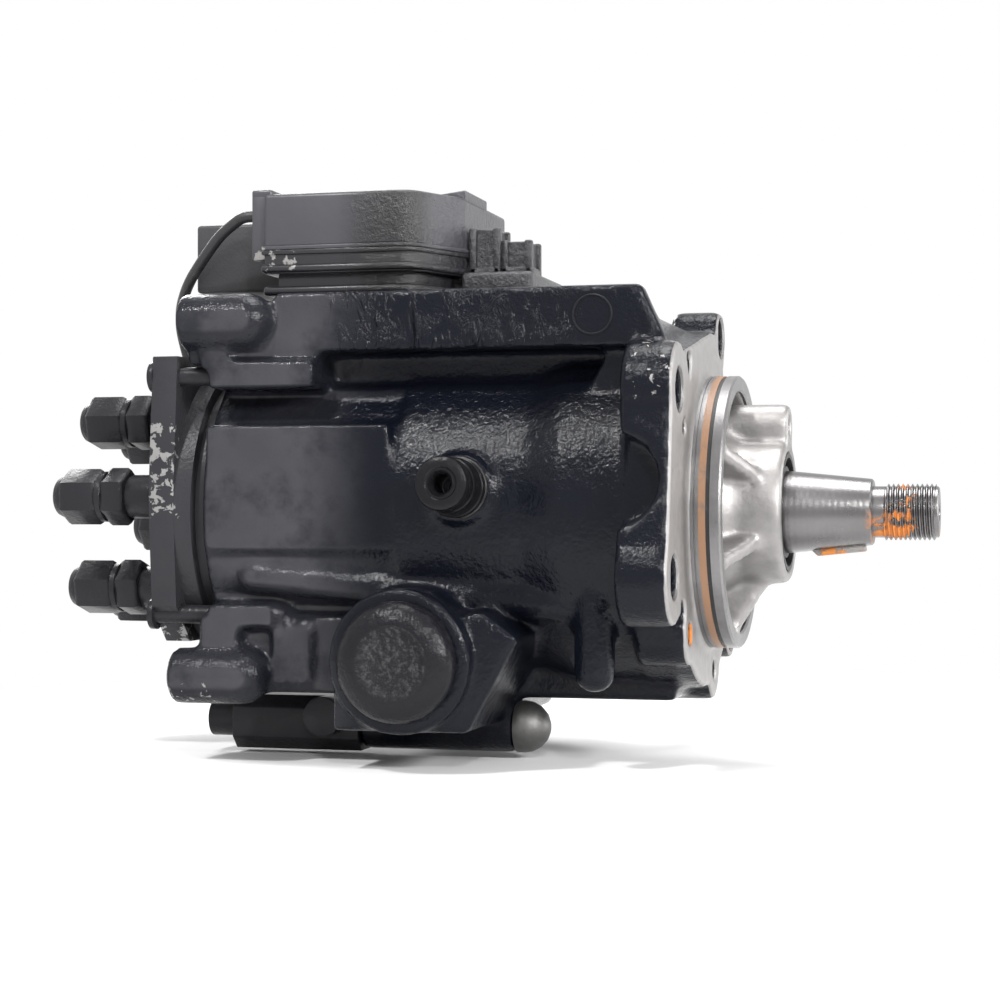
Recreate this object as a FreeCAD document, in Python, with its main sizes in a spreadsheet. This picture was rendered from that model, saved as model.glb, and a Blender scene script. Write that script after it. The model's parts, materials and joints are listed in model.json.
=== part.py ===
import FreeCAD, Part
import math
import os
from types import SimpleNamespace

import Sketcher

# Radial-piston distributor injection pump for a six-cylinder diesel engine.
# The origin is the centre of the mounting flange's front face, on the shaft axis.
# +X runs along the shaft to its threaded nose, +Z is up and the nameplate side is -Y.
# Lengths are millimetres and angles are degrees, measured about X from +Y towards +Z.

SIZE_TABLE = [
    ("flange_thickness", 16.0, "thickness of the mounting flange"),
    ("hub_radius", 57.0, "radius of the flange's round middle"),
    ("mount_circle", 64.5, "radius on which the four mounting holes lie"),
    ("mount_hole", 6.0, "radius of a mounting hole"),
    ("near_lobe", 15.0, "outline radius of the two near lobes"),
    ("far_lobe", 9.0, "outline radius of the two far lobes"),
    ("near_up_angle", 145.0, "angle of the near upper mounting hole"),
    ("near_low_angle", -162.4, "angle of the near lower mounting hole"),
    ("far_up_angle", 65.0, "angle of the far upper mounting hole"),
    ("far_low_angle", -40.0, "angle of the far lower mounting hole"),
    ("dowel_hole", 3.2, "radius of the two small flange holes"),
    ("dowel_lobe", 10.0, "outline radius round a small flange hole"),
    ("dowel_a_angle", -131.8, "angle of the near small hole"),
    ("dowel_a_circle", 51.0, "radius on which the near small hole lies"),
    ("dowel_b_angle", -76.0, "angle of the bottom small hole"),
    ("dowel_b_circle", 53.6, "radius on which the bottom small hole lies"),
    ("scallop_radius", 13.7, "radius of the relief behind the near edge"),
    ("scallop_floor", 3.7, "thickness of the flange left by that relief"),
    ("pocket_depth", 5.0, "depth of the small pockets in the flange's face"),
    ("pilot_radius", 44.0, "radius of the pilot that centres the pump"),
    ("pilot_length", 10.8, "length of the pilot in front of the flange"),
    ("rim_width", 5.0, "width of the pilot's front rim"),
    ("ring_start", 3.9, "distance of the pilot ring groove from the face"),
    ("seal_ring_width", 2.2, "width of the pilot sealing ring"),
    ("backup_ring_width", 1.3, "width of the pilot backing ring"),
    ("ring_depth", 2.5, "depth of the pilot ring groove"),
    ("ring_relief", 0.05, "depth of the fitted sealing ring below the pilot's surface"),
    ("nose_length", 26.7, "distance of the nose's end from the flange face"),
    ("nose_radius", 23.0, "radius of the nose round the shaft seal"),
    ("nose_rib", 5.0, "thickness of a nose rib"),
    ("lug_radius", 7.3, "radius of the lug on top of the nose"),
    ("lug_height", 27.5, "height of the lug hole above the shaft axis"),
    ("lug_hole", 2.75, "radius of the lug hole"),
    ("shaft_seal_radius", 19.0, "outer radius of the shaft seal"),
    ("shaft_seal_depth", 8.0, "depth of the shaft seal's seat"),
    ("journal_radius", 13.2, "radius of the shaft at the seal"),
    ("taper_length", 26.5, "length of the shaft's cone"),
    ("taper_rate", 0.1, "radius lost per length on the cone"),
    ("undercut_radius", 8.2, "radius of the thread undercut"),
    ("undercut_length", 4.0, "length of the thread undercut"),
    ("thread_radius", 9.0, "outer radius of the shaft's thread"),
    ("thread_length", 16.6, "length of the shaft's thread"),
    ("thread_chamfer", 1.0, "chamfer at the end of the thread"),
    ("centre_drill", 3.0, "radius of the centre hole in the shaft's end"),
    ("shaft_core", 12.0, "radius of the shaft inside the pump"),
    ("key_start", 34.0, "distance of the key's front end from the flange face"),
    ("key_length", 17.0, "length of the key"),
    ("key_width", 4.0, "width of the key"),
    ("key_proud", 1.8, "height of the key above the cone"),
    ("key_depth", 2.6, "depth of the key in the cone"),
    ("running_gap", 0.05, "radial clearance of a running fit"),
    ("bush_wall", 3.8, "wall of the front bearing bush"),
    ("bush_length", 30.0, "length of the front bearing bush"),
    ("bush_end", 16.0, "distance of the bush's front end from the flange face"),
    ("ring_bore", 31.6, "radius of the bore for the pump and cam rings"),
    ("ring_fit", 0.1, "radial clearance of the rings in their bore"),
    ("vane_pump_front", 20.0, "distance of the vane pump's front wall behind the face"),
    ("vane_pump_length", 18.0, "length of the vane pump's ring"),
    ("vane_rotor_radius", 17.5, "radius of the vane rotor"),
    ("vane_bore", 20.5, "radius of the eccentric bore"),
    ("vane_offset", 2.2, "offset of the eccentric bore"),
    ("vane_width", 2.0, "thickness of a vane"),
    ("vane_reach", 0.6, "height of a vane above its rotor"),
    ("port_plate", 6.0, "thickness of the vane pump's port plate"),
    ("rear_bush_wall", 3.0, "wall of the rear bearing bush"),
    ("tooth_ring_radius", 26.0, "root radius of the toothed ring"),
    ("tooth_height", 2.0, "height of a tooth"),
    ("tooth_ring_width", 5.0, "thickness of the toothed ring"),
    ("tooth_ring_gap", 5.0, "gap between the port plate and the toothed ring"),
    ("sensor_gap", 0.8, "gap between the teeth and the sensor"),
    ("cam_centre", 85.0, "distance of the cam ring's middle behind the face"),
    ("cam_width", 26.0, "width of the cam ring"),
    ("cam_base", 25.5, "radius between the cam lobes"),
    ("cam_peak", 22.5, "radius at the tip of a cam lobe"),
    ("cam_lobe", 9.0, "radius of a cam lobe's tip"),
    ("roller_radius", 4.0, "radius of a roller"),
    ("roller_length", 14.0, "length of a roller"),
    ("roller_gap", 0.15, "gap between a roller and a cam lobe"),
    ("shoe_width", 11.0, "width of a roller shoe"),
    ("piston_radius", 3.0, "radius of a radial piston"),
    ("carrier_radius", 20.0, "radius of the rotor's piston carrier"),
    ("rotor_radius", 9.0, "radius of the distributor rotor"),
    ("barrel_sleeve", 16.0, "outer radius of the distributor barrel"),
    ("tongue_width", 6.0, "width of the tongue that drives the rotor"),
    ("barrel_rear", 156.0, "distance of the housing's rear end behind the face"),
    ("barrel_radius", 51.0, "radius of the housing's barrel"),
    ("shoulder_rise", 1.6, "height of the barrel's raised middle above it"),
    ("shoulder_rear", 91.0, "rear end of the raised middle"),
    ("shoulder_front", 50.0, "front end of the raised middle"),
    ("flare_front", 38.0, "front end of the flare towards the flange"),
    ("flare_rise", 5.0, "height of the flare above the barrel at the flange"),
    ("barrel_wall", 7.0, "wall of the barrel round the head's spigot"),
    ("head_gap", 6.0, "distance of the head's spigot behind the cam ring"),
    ("pad_rise", 0.4, "height of the flat pad above the barrel's side"),
    ("pad_rear", 154.7, "rear end of the flat pad"),
    ("pad_front", 92.6, "front end of the flat pad"),
    ("pad_top", 27.9, "height of the flat pad's top edge"),
    ("pad_bottom", -12.2, "height of the flat pad's bottom edge"),
    ("deck_top", 70.0, "height of the deck under the control unit"),
    ("deck_bottom", 51.0, "height of the deck's lower edge"),
    ("deck_near", 48.0, "distance of the deck's near side from the axis"),
    ("deck_far", 42.0, "distance of the deck's far side from the axis"),
    ("deck_rear_top", 132.0, "rear end of the deck's top"),
    ("deck_rear_bottom", 140.0, "rear end of the deck's lower edge"),
    ("deck_front_top", 13.0, "front end of the deck's top"),
    ("deck_front_bottom", 4.5, "front end of the deck's lower edge"),
    ("web_near", 31.0, "distance of the web's near side under the deck"),
    ("ledge_side", 36.0, "distance of the ledge's side from the axis"),
    ("ledge_height", 40.3, "height of the ledge along the barrel"),
    ("bracket_radius", 9.0, "radius of a bracket boss"),
    ("bracket_side", 48.0, "distance of the bracket bosses from the axis"),
    ("bracket_thread", 4.25, "wall radius of a bracket hole"),
    ("bracket_depth", 18.0, "depth of a bracket hole"),
    ("upper_bracket_rise", 17.2, "height of the upper bracket boss above the head bolt"),
    ("upper_bracket_reach", 6.8, "distance of the upper bracket boss's end behind the barrel"),
    ("upper_bracket_length", 21.8, "length of the upper bracket boss up to its dome"),
    ("lower_bracket_height", -52.7, "height of the lower bracket boss"),
    ("lower_bracket_reach", 10.2, "distance of the lower bracket boss's end behind the barrel"),
    ("lower_bracket_length", 23.7, "length of the lower bracket boss up to its dome"),
    ("plate_bolt_radius", 3.0, "radius of a head bolt"),
    ("bolt_inset", 8.0, "distance of the head bolts inside the barrel's radius"),
    ("upper_bolt_height", 44.0, "height of the upper head bolts"),
    ("lower_bolt_height", -33.2, "height of the lower head bolts"),
    ("bolt_head_radius", 5.0, "radius of a head bolt's head"),
    ("bolt_head_length", 3.0, "length of a head bolt's head"),
    ("bolt_depth", 14.0, "depth of a head bolt in the housing"),
    ("head_reach", 18.3, "distance of the head's rear face behind the barrel"),
    ("plate_thickness", 8.5, "thickness of the head's plate"),
    ("plate_inset", 1.0, "distance of the head's edge inside the barrel's radius"),
    ("plate_top", 50.5, "height of the plate's top edge"),
    ("plate_bottom", -42.4, "height of the plate's bottom edge"),
    ("head_ring_length", 5.8, "length of the head's ring"),
    ("outlet_inset", 11.3, "distance of the delivery fittings inside the head's spigot"),
    ("outlet_angle", 51.0, "angle of the first delivery fitting"),
    ("holder_shank", 7.0, "radius of a holder's threaded shank"),
    ("holder_depth", 19.0, "depth of a holder in the head"),
    ("holder_collar_radius", 8.4, "radius of a holder's collar"),
    ("holder_collar", 4.7, "length of a holder's collar"),
    ("holder_neck_radius", 7.2, "radius of a holder's neck"),
    ("holder_neck", 9.3, "length of a holder's neck"),
    ("hex_radius", 9.8, "corner radius of the 17 mm hexagons"),
    ("holder_hex", 8.0, "length of a holder's hexagon"),
    ("cap_collar", 2.0, "length of the round part of a cap"),
    ("cap_hex", 13.0, "length of a cap's hexagon"),
    ("cap_tip", 3.0, "length of a cap's round tip"),
    ("valve_radius", 3.1, "radius of a delivery valve"),
    ("valve_length", 7.0, "length of a delivery valve"),
    ("valve_bore", 3.15, "radius of a holder's bore"),
    ("valve_seat_gap", 0.3, "gap between a delivery valve and its seat"),
    ("valve_lift", 0.8, "lift of a delivery valve"),
    ("solenoid_radius", 14.5, "radius of the high-pressure solenoid"),
    ("solenoid_length", 15.0, "length of the solenoid behind the plate"),
    ("solenoid_wall", 2.6, "wall of the solenoid"),
    ("needle_radius", 3.0, "radius of the solenoid's needle"),
    ("needle_length", 38.0, "length of the solenoid's needle"),
    ("armature_radius", 9.5, "radius of the armature"),
    ("timing_height", -45.9, "height of the timing piston's axis"),
    ("timing_bore", 13.05, "radius of the timing bore"),
    ("timing_case", 22.6, "outer radius of the timing cylinder"),
    ("timing_near", 67.0, "near end of the timing cylinder"),
    ("timing_far", 52.0, "far end of the timing cylinder"),
    ("timing_block_near", 62.0, "near face of the timing block"),
    ("timing_block_bottom", -67.9, "height of the timing block's underside"),
    ("timing_piston_length", 60.0, "length of the timing piston"),
    ("timing_advance", 12.0, "angle that the cam ring turns"),
    ("pin_radius", 4.0, "radius of the cam ring's pin in its seat"),
    ("pin_neck", 3.0, "radius of the pin's neck"),
    ("pin_ball", 4.6, "radius of the pin's ball"),
    ("cover_radius", 18.8, "radius of a timing cover"),
    ("cover_thickness", 8.0, "thickness of a timing cover"),
    ("cover_spigot", 15.5, "radius of a cover's spigot"),
    ("cover_spigot_length", 8.0, "length of a cover's spigot"),
    ("cover_dish", 11.0, "radius of the dish in a cover"),
    ("gallery_side", -12.0, "place of the gallery under the pump, across the shaft"),
    ("gallery_height", -70.0, "height of the gallery under the pump"),
    ("gallery_radius", 8.5, "outer radius of the gallery"),
    ("gallery_bore", 5.05, "radius of the gallery's bore"),
    ("gallery_rear", 113.0, "rear end of the gallery"),
    ("gallery_front", 60.8, "front end of the gallery"),
    ("gallery_plug", 2.5, "length of the gallery plug's straight part"),
    ("timing_valve_length", 44.0, "length of the timing solenoid valve"),
    ("timing_valve_size", 18.0, "width and height of the timing solenoid valve"),
    ("union_place", 69.4, "distance of the return union behind the face"),
    ("union_height", 8.0, "height of the return union's root"),
    ("union_tilt", 4.0, "rise of the return union"),
    ("union_radius", 8.5, "radius of the return union"),
    ("union_length", 19.0, "length of the return union"),
    ("union_bore", 3.0, "radius of the return union's bore"),
    ("union_shank", 7.0, "radius of a union's threaded shank"),
    ("return_ball", 3.9, "radius of the return valve's ball"),
    ("return_seat", 2.0, "radius of the return valve's seat"),
    ("return_chamber", 4.1, "radius of the return valve's chamber"),
    ("inlet_place", 58.0, "distance of the inlet union behind the face"),
    ("inlet_height", 14.0, "height of the inlet union"),
    ("inlet_bore", 4.5, "radius of the inlet union's bore"),
    ("inlet_rise", 6.0, "height of the inlet boss above the barrel"),
    ("unit_rear", 139.9, "rear side of the control unit"),
    ("unit_front", 77.0, "front side of the control unit"),
    ("unit_corner", 88.7, "start of the control unit's slanted corner"),
    ("unit_near", 40.0, "distance of the unit's near side from the axis"),
    ("unit_corner_side", 15.0, "distance of the slanted corner's end from the axis"),
    ("unit_far", 38.0, "distance of the unit's far side from the axis"),
    ("unit_foot", 7.0, "height of the unit's foot on the deck"),
    ("unit_tray", 7.8, "height of the unit's tray"),
    ("unit_lid", 18.2, "height of the unit's lid"),
    ("unit_wall", 2.5, "wall of the tray and the lid"),
    ("unit_foot_inset", 5.0, "inset of the unit's foot under its tray"),
    ("board_thickness", 1.6, "thickness of the circuit board"),
    ("unit_screw", 2.0, "radius of a unit screw"),
    ("connector_length", 32.5, "length of the connector housing"),
    ("connector_near", 15.0, "near side of the connector housing"),
    ("connector_far", 34.0, "far side of the connector housing"),
    ("connector_bottom", 74.0, "height of the connector's underside"),
    ("connector_height", 23.0, "height of the connector housing"),
    ("connector_wall", 2.5, "wall of the connector housing"),
    ("connector_socket", 20.0, "depth of the connector's socket"),
    ("pin_size", 1.0, "radius of a connector pin"),
    ("lead_radius", 1.85, "radius of the harness lead"),
]


class Size:
    """A length or an angle: its value now, and the sheet formula that it follows."""

    def __init__(self, value, formula):
        self.value = float(value)
        self.formula = formula

    @staticmethod
    def of(thing):
        if isinstance(thing, Size):
            return thing
        return Size(thing, "(" + repr(float(thing)) + ")")

    def joined(self, sign, other, value):
        return Size(value, "(" + self.formula + " " + sign + " " + other.formula + ")")

    def __add__(self, other):
        other = Size.of(other)
        return self.joined("+", other, self.value + other.value)

    def __sub__(self, other):
        other = Size.of(other)
        return self.joined("-", other, self.value - other.value)

    def __mul__(self, other):
        other = Size.of(other)
        return self.joined("*", other, self.value * other.value)

    def __truediv__(self, other):
        other = Size.of(other)
        return self.joined("/", other, self.value / other.value)

    def __radd__(self, other):
        return Size.of(other) + self

    def __rsub__(self, other):
        return Size.of(other) - self

    def __rmul__(self, other):
        return Size.of(other) * self

    def __neg__(self):
        return Size(-self.value, "(-1 * " + self.formula + ")")

    def sine(self):
        return Size(math.sin(math.radians(self.value)), "sin(" + self.formula + " * 1 deg)")

    def cosine(self):
        return Size(math.cos(math.radians(self.value)), "cos(" + self.formula + " * 1 deg)")


doc = FreeCAD.newDocument("InjectionPump")
sheet = doc.addObject("Spreadsheet::Sheet", "Sizes")
s = SimpleNamespace()
for row, (alias, value, meaning) in enumerate(SIZE_TABLE, start=1):
    sheet.set("A" + str(row), meaning)
    sheet.set("B" + str(row), str(value))
    sheet.setAlias("B" + str(row), alias)
    setattr(s, alias, Size(value, "Sizes." + alias))
doc.recompute()
s.shoulder_radius = s.barrel_radius + s.shoulder_rise
s.flare_radius = s.barrel_radius + s.flare_rise
s.head_bore = s.barrel_radius - s.barrel_wall
s.head_depth = s.barrel_rear - s.cam_centre - s.cam_width / 2 - s.head_gap
s.plate_rear = s.barrel_rear + s.head_reach
s.plate_side = s.barrel_radius - s.plate_inset
s.plate_bolt_side = s.barrel_radius - s.bolt_inset
s.pad_side = s.barrel_radius + s.pad_rise
s.outlet_circle = s.head_bore - s.outlet_inset
s.inlet_boss = s.barrel_radius + s.inlet_rise
s.upper_bracket_height = s.upper_bolt_height + s.upper_bracket_rise
s.upper_bracket_rear = s.barrel_rear + s.upper_bracket_reach
s.upper_bracket_front = s.upper_bracket_rear - s.upper_bracket_length
s.lower_bracket_rear = s.barrel_rear + s.lower_bracket_reach
s.lower_bracket_front = s.lower_bracket_rear - s.lower_bracket_length

nodes = {}

TURNS = {
    "X": FreeCAD.Rotation(FreeCAD.Vector(0, 1, 0), 90),
    "Y": FreeCAD.Rotation(FreeCAD.Vector(1, 0, 0), -90),
    "Z": FreeCAD.Rotation(),
    "-X": FreeCAD.Rotation(FreeCAD.Vector(0, 1, 0), -90),
    "-Y": FreeCAD.Rotation(FreeCAD.Vector(1, 0, 0), 90),
    "-Z": FreeCAD.Rotation(FreeCAD.Vector(1, 0, 0), 180),
}


def bind(feature, field, size):
    """Sets one field of a feature, and lets it follow the sheet."""
    if isinstance(size, Size):
        feature.setExpression(field, size.formula)
    else:
        setattr(feature, field, size)


def vector(point):
    """The point's present coordinates."""
    return FreeCAD.Vector(*[Size.of(c).value for c in point])


def place(feature, at, turn=None):
    """Puts a feature at a point, turned, with its coordinates following the sheet."""
    feature.Placement = FreeCAD.Placement(vector(at), turn or FreeCAD.Rotation())
    for axis, coordinate in zip("xyz", at):
        if isinstance(coordinate, Size):
            feature.setExpression("Placement.Base." + axis, coordinate.formula)
    return feature


def spin(feature, angle):
    """Turns a feature that stands on the shaft axis about that axis."""
    feature.Placement = FreeCAD.Placement(
        FreeCAD.Vector(), FreeCAD.Rotation(FreeCAD.Vector(1, 0, 0), Size.of(angle).value))
    return feature


def rod(name, radius, length, at, along="X"):
    """A cylinder that starts at a point and runs along an axis."""
    feature = doc.addObject("Part::Cylinder", name)
    bind(feature, "Radius", radius)
    bind(feature, "Height", length)
    return place(feature, at, TURNS[along] if isinstance(along, str) else along)


def cone(name, start_radius, end_radius, length, at, along="X"):
    """A cone that starts at a point and runs along an axis."""
    feature = doc.addObject("Part::Cone", name)
    bind(feature, "Radius1", start_radius)
    bind(feature, "Radius2", end_radius)
    bind(feature, "Height", length)
    return place(feature, at, TURNS[along] if isinstance(along, str) else along)


def hexagon(name, corner_radius, length, at, along="X"):
    """A six-sided prism that starts at a point and runs along an axis."""
    feature = doc.addObject("Part::Prism", name)
    feature.Polygon = 6
    bind(feature, "Circumradius", corner_radius)
    bind(feature, "Height", length)
    return place(feature, at, TURNS[along] if isinstance(along, str) else along)


def ball(name, radius, at):
    """A ball round a point."""
    feature = doc.addObject("Part::Sphere", name)
    bind(feature, "Radius", radius)
    return place(feature, at)


def box(name, low, high, turn=None):
    """A box between two opposite corners."""
    feature = doc.addObject("Part::Box", name)
    for field, start, end in zip(("Length", "Width", "Height"), low, high):
        bind(feature, field, Size.of(end) - Size.of(start))
    return place(feature, low, turn)


def fuse(name, features):
    """One solid of features that meet."""
    feature = doc.addObject("Part::MultiFuse", name)
    feature.Shapes = features
    return feature


def cut(name, base, tools):
    """A feature with others cut away."""
    feature = doc.addObject("Part::Cut", name)
    feature.Base = base
    feature.Tool = tools[0] if len(tools) == 1 else fuse(name + "_tools", tools)
    return feature


def overlap(name, first, second):
    """What two features share."""
    feature = doc.addObject("Part::Common", name)
    feature.Base = first
    feature.Tool = second
    return feature


def group(name, features):
    """Equal pieces that stay separate solids in one node."""
    feature = doc.addObject("Part::Compound", name)
    feature.Links = features
    return feature


def tube(name, outer, inner, length, at, along="X"):
    """A ring or sleeve along an axis."""
    return cut(name, rod(name + "_outside", outer, length, at, along),
               [rod(name + "_bore", inner, length, at, along)])


def origin_plane(body, role):
    """The body's own origin plane of that role."""
    return [item for item in body.Origin.OriginFeatures if item.Role == role][0]


def outline(body, name, plane, points, offset=0):
    """A closed outline on an origin plane, with each corner tied to the sheet."""
    sketch = body.newObject("Sketcher::SketchObject", name)
    sketch.AttachmentSupport = [(origin_plane(body, plane), "")]
    sketch.MapMode = "FlatFace"
    if isinstance(offset, Size):
        sketch.setExpression("AttachmentOffset.Base.z", offset.formula)
    else:
        sketch.AttachmentOffset = FreeCAD.Placement(FreeCAD.Vector(0, 0, offset), FreeCAD.Rotation())
    corners = [FreeCAD.Vector(Size.of(u).value, Size.of(v).value, 0) for u, v in points]
    count = len(corners)
    for index in range(count):
        sketch.addGeometry(Part.LineSegment(corners[index], corners[(index + 1) % count]), False)
    for index in range(count):
        sketch.addConstraint(Sketcher.Constraint("Coincident", index, 2, (index + 1) % count, 1))
    for index, corner in enumerate(points):
        for kind, coordinate in zip(("DistanceX", "DistanceY"), corner):
            coordinate = Size.of(coordinate)
            number = sketch.addConstraint(
                Sketcher.Constraint(kind, -1, 1, index, 1, coordinate.value))
            sketch.setExpression("Constraints[" + str(number) + "]", coordinate.formula)
    return sketch


def turned(name, profile):
    """A body turned about X from a profile of (x, radius) corners."""
    body = doc.addObject("PartDesign::Body", name)
    sketch = outline(body, name + "_profile", "XZ_Plane", profile)
    revolution = body.newObject("PartDesign::Revolution", name + "_turned")
    revolution.Profile = sketch
    revolution.ReferenceAxis = (sketch, ["H_Axis"])
    revolution.Angle = 360
    body.Tip = revolution
    return body


def padded(name, plane, points, start, length):
    """A body with straight walls over an outline; an XZ outline runs from start to -Y."""
    body = doc.addObject("PartDesign::Body", name)
    offset = -Size.of(start) if plane == "XZ_Plane" else Size.of(start)
    sketch = outline(body, name + "_outline", plane, points, offset)
    pad = body.newObject("PartDesign::Pad", name + "_pad")
    pad.Profile = sketch
    bind(pad, "Length", length)
    body.Tip = pad
    return body


def keep(node, feature):
    """Makes a feature the sub-part of that name."""
    feature.Label = node
    nodes[node] = feature
    return feature


def around(radius, angle):
    """The Y and Z of a point at that radius and angle."""
    angle = Size.of(angle)
    return radius * angle.cosine(), radius * angle.sine()


def lobe(name, radius, circle, angle):
    """A round flange lobe with straight flanks that run in to the hub."""
    side, height = around(circle, angle)
    tip = rod(name + "_tip", radius, s.flange_thickness, (-s.flange_thickness, side, height))
    foot = (-s.flange_thickness, radius * angle.sine(), -(radius * angle.cosine()))
    web = doc.addObject("Part::Box", name + "_web")
    bind(web, "Length", s.flange_thickness)
    bind(web, "Width", circle)
    bind(web, "Height", radius * 2)
    place(web, foot, FreeCAD.Rotation(FreeCAD.Vector(1, 0, 0), angle.value))
    return [tip, web]


MOUNT_ANGLES = [s.near_up_angle, s.near_low_angle, s.far_up_angle, s.far_low_angle]
DOWELS = [(s.dowel_a_circle, s.dowel_a_angle), (s.dowel_b_circle, s.dowel_b_angle)]
OUTLETS = range(6)
NOSE_RIB_ANGLES = (20, 150, 205, 262, 318)
BOLT_PLACES = [(-s.plate_bolt_side, s.upper_bolt_height), (s.plate_bolt_side, s.upper_bolt_height),
               (-s.plate_bolt_side, s.lower_bolt_height), (s.plate_bolt_side, s.lower_bolt_height)]


def build_flange():
    """The mounting flange with its lobes."""
    pieces = [rod("flange_hub", s.hub_radius, s.flange_thickness, (-s.flange_thickness, 0, 0))]
    for number, angle in enumerate(MOUNT_ANGLES):
        radius = s.near_lobe if number < 2 else s.far_lobe
        pieces += lobe("mount_lobe_" + str(number), radius, s.mount_circle, angle)
    for number, (circle, angle) in enumerate(DOWELS):
        pieces += lobe("dowel_lobe_" + str(number), s.dowel_lobe, circle, angle)
    near_up, near_low, far_up = [around(s.mount_circle, angle) for angle in MOUNT_ANGLES[:3]]
    edge = s.near_lobe - 1.8
    pieces.append(padded("flange_near_web", "YZ_Plane", [
        (near_up[0] - edge, near_up[1]), (near_low[0] - edge, near_low[1]),
        (near_low[0] + edge, near_low[1]), (near_up[0] + edge, near_up[1])],
        -s.flange_thickness, s.flange_thickness))
    rise = s.near_lobe - 4
    pieces.append(padded("flange_top_web", "YZ_Plane", [
        (near_up[0], near_up[1] + rise), (far_up[0] - 18, far_up[1] + 1), (far_up[0], far_up[1]),
        (far_up[0], near_up[1]), (near_up[0], near_up[1])],
        -s.flange_thickness, s.flange_thickness))
    return pieces


def build_core():
    """The turned form of barrel, flare, pilot and nose."""
    edge = 0.8
    nose_edge = 1.2
    recess_floor = 0.5
    flare_root = s.nose_radius + 7
    flare_height = s.nose_length * 0.45
    profile = [
        (-s.barrel_rear, 0),
        (-s.barrel_rear, s.barrel_radius - edge),
        (-s.barrel_rear + edge, s.barrel_radius),
        (-s.shoulder_rear, s.barrel_radius),
        (-s.shoulder_rear, s.shoulder_radius),
        (-s.shoulder_front, s.shoulder_radius),
        (-s.flare_front, s.flare_radius),
        (-s.flange_thickness / 2, s.flare_radius),
        (-s.flange_thickness / 2, s.pilot_radius),
        (s.pilot_length - edge, s.pilot_radius),
        (s.pilot_length, s.pilot_radius - edge),
        (s.pilot_length, s.pilot_radius - s.rim_width),
        (recess_floor, s.pilot_radius - s.rim_width - 1),
        (recess_floor, flare_root),
        (flare_height, s.nose_radius),
        (s.nose_length - nose_edge, s.nose_radius),
        (s.nose_length, s.nose_radius - nose_edge),
        (s.nose_length, 0),
    ]
    return turned("casting_core", profile)


def build_nose_ribs():
    """The ribs between the nose and the pilot's rim, and the lug on top."""
    ribs = []
    for number, angle in enumerate(NOSE_RIB_ANGLES):
        outline_points = [(0, s.nose_radius - 3), (0, s.pilot_radius - 3),
                          (s.pilot_length - 1.5, s.pilot_radius - 3),
                          (s.nose_length - 6, s.nose_radius - 1)]
        rib = padded("nose_rib_" + str(number), "XZ_Plane", outline_points, s.nose_rib / 2, s.nose_rib)
        ribs.append(spin(rib, angle - 90))
    lug = rod("nose_lug", s.lug_radius, s.nose_length, (0, 0, s.lug_height))
    return ribs + [lug]


def build_deck():
    """The deck that carries the control unit, and the web below it."""
    deck = padded("deck", "XZ_Plane", [
        (-s.deck_rear_bottom, s.deck_bottom),
        (-s.deck_rear_top, s.deck_top),
        (-s.deck_front_top, s.deck_top),
        (-s.deck_front_bottom, s.deck_bottom),
    ], s.deck_far, s.deck_far + s.deck_near)
    web = box("deck_web", (-s.deck_rear_bottom - 1, -s.web_near, 0),
              (-s.flange_thickness / 2, s.web_near, s.deck_bottom + 1))
    ledge = box("barrel_ledge", (-s.deck_rear_top + 14, -s.ledge_side, 0),
                (-s.flare_front + 10, s.ledge_side, s.ledge_height))
    gusset = padded("deck_gusset", "XZ_Plane", [
        (-s.flare_front + 2, s.ledge_height - 12),
        (-s.flare_front + 14, s.deck_bottom + 1),
        (-s.flange_thickness / 2, s.deck_bottom + 1),
        (-s.flange_thickness / 2, s.ledge_height - 12),
    ], 0, s.deck_near - 6)
    corner = box("deck_corner", (-s.deck_front_top - 33, 13, s.deck_bottom - 6),
                 (1, s.deck_far + 1, s.deck_top + 1))
    carrier = cut("deck_with_corner", fuse("deck_and_web", [deck, web]), [corner])
    return [carrier, ledge, gusset]


def build_side_forms():
    """The flat pad, the gallery rib and the rod boss on the barrel's near side."""
    pad = box("side_pad", (-s.pad_rear, -s.pad_side, s.pad_bottom),
              (-s.pad_front, -s.pad_side + 14, s.pad_top))
    rib_radius = 5.2
    rib_start = (-s.barrel_rear + 16, -s.barrel_radius + 6, -20.5)
    rib_end = (-s.flare_front + 8, -s.barrel_radius + 7, -29.6)
    direction = vector(rib_end) - vector(rib_start)
    rib = rod("gallery_rib", rib_radius, direction.Length, rib_start,
              FreeCAD.Rotation(FreeCAD.Vector(0, 0, 1), direction))
    rib_cap = ball("gallery_rib_cap", rib_radius, rib_start)
    rod_radius = 6.45
    rod_place = (-s.flare_front + 10, -45, -24)
    boss = rod("rod_boss", rod_radius, 25.4, rod_place, "-Z")
    boss_end = ball("rod_boss_end", rod_radius, (rod_place[0], -45, -49.4))
    return [pad, rib, rib_cap, boss, boss_end]


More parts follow.
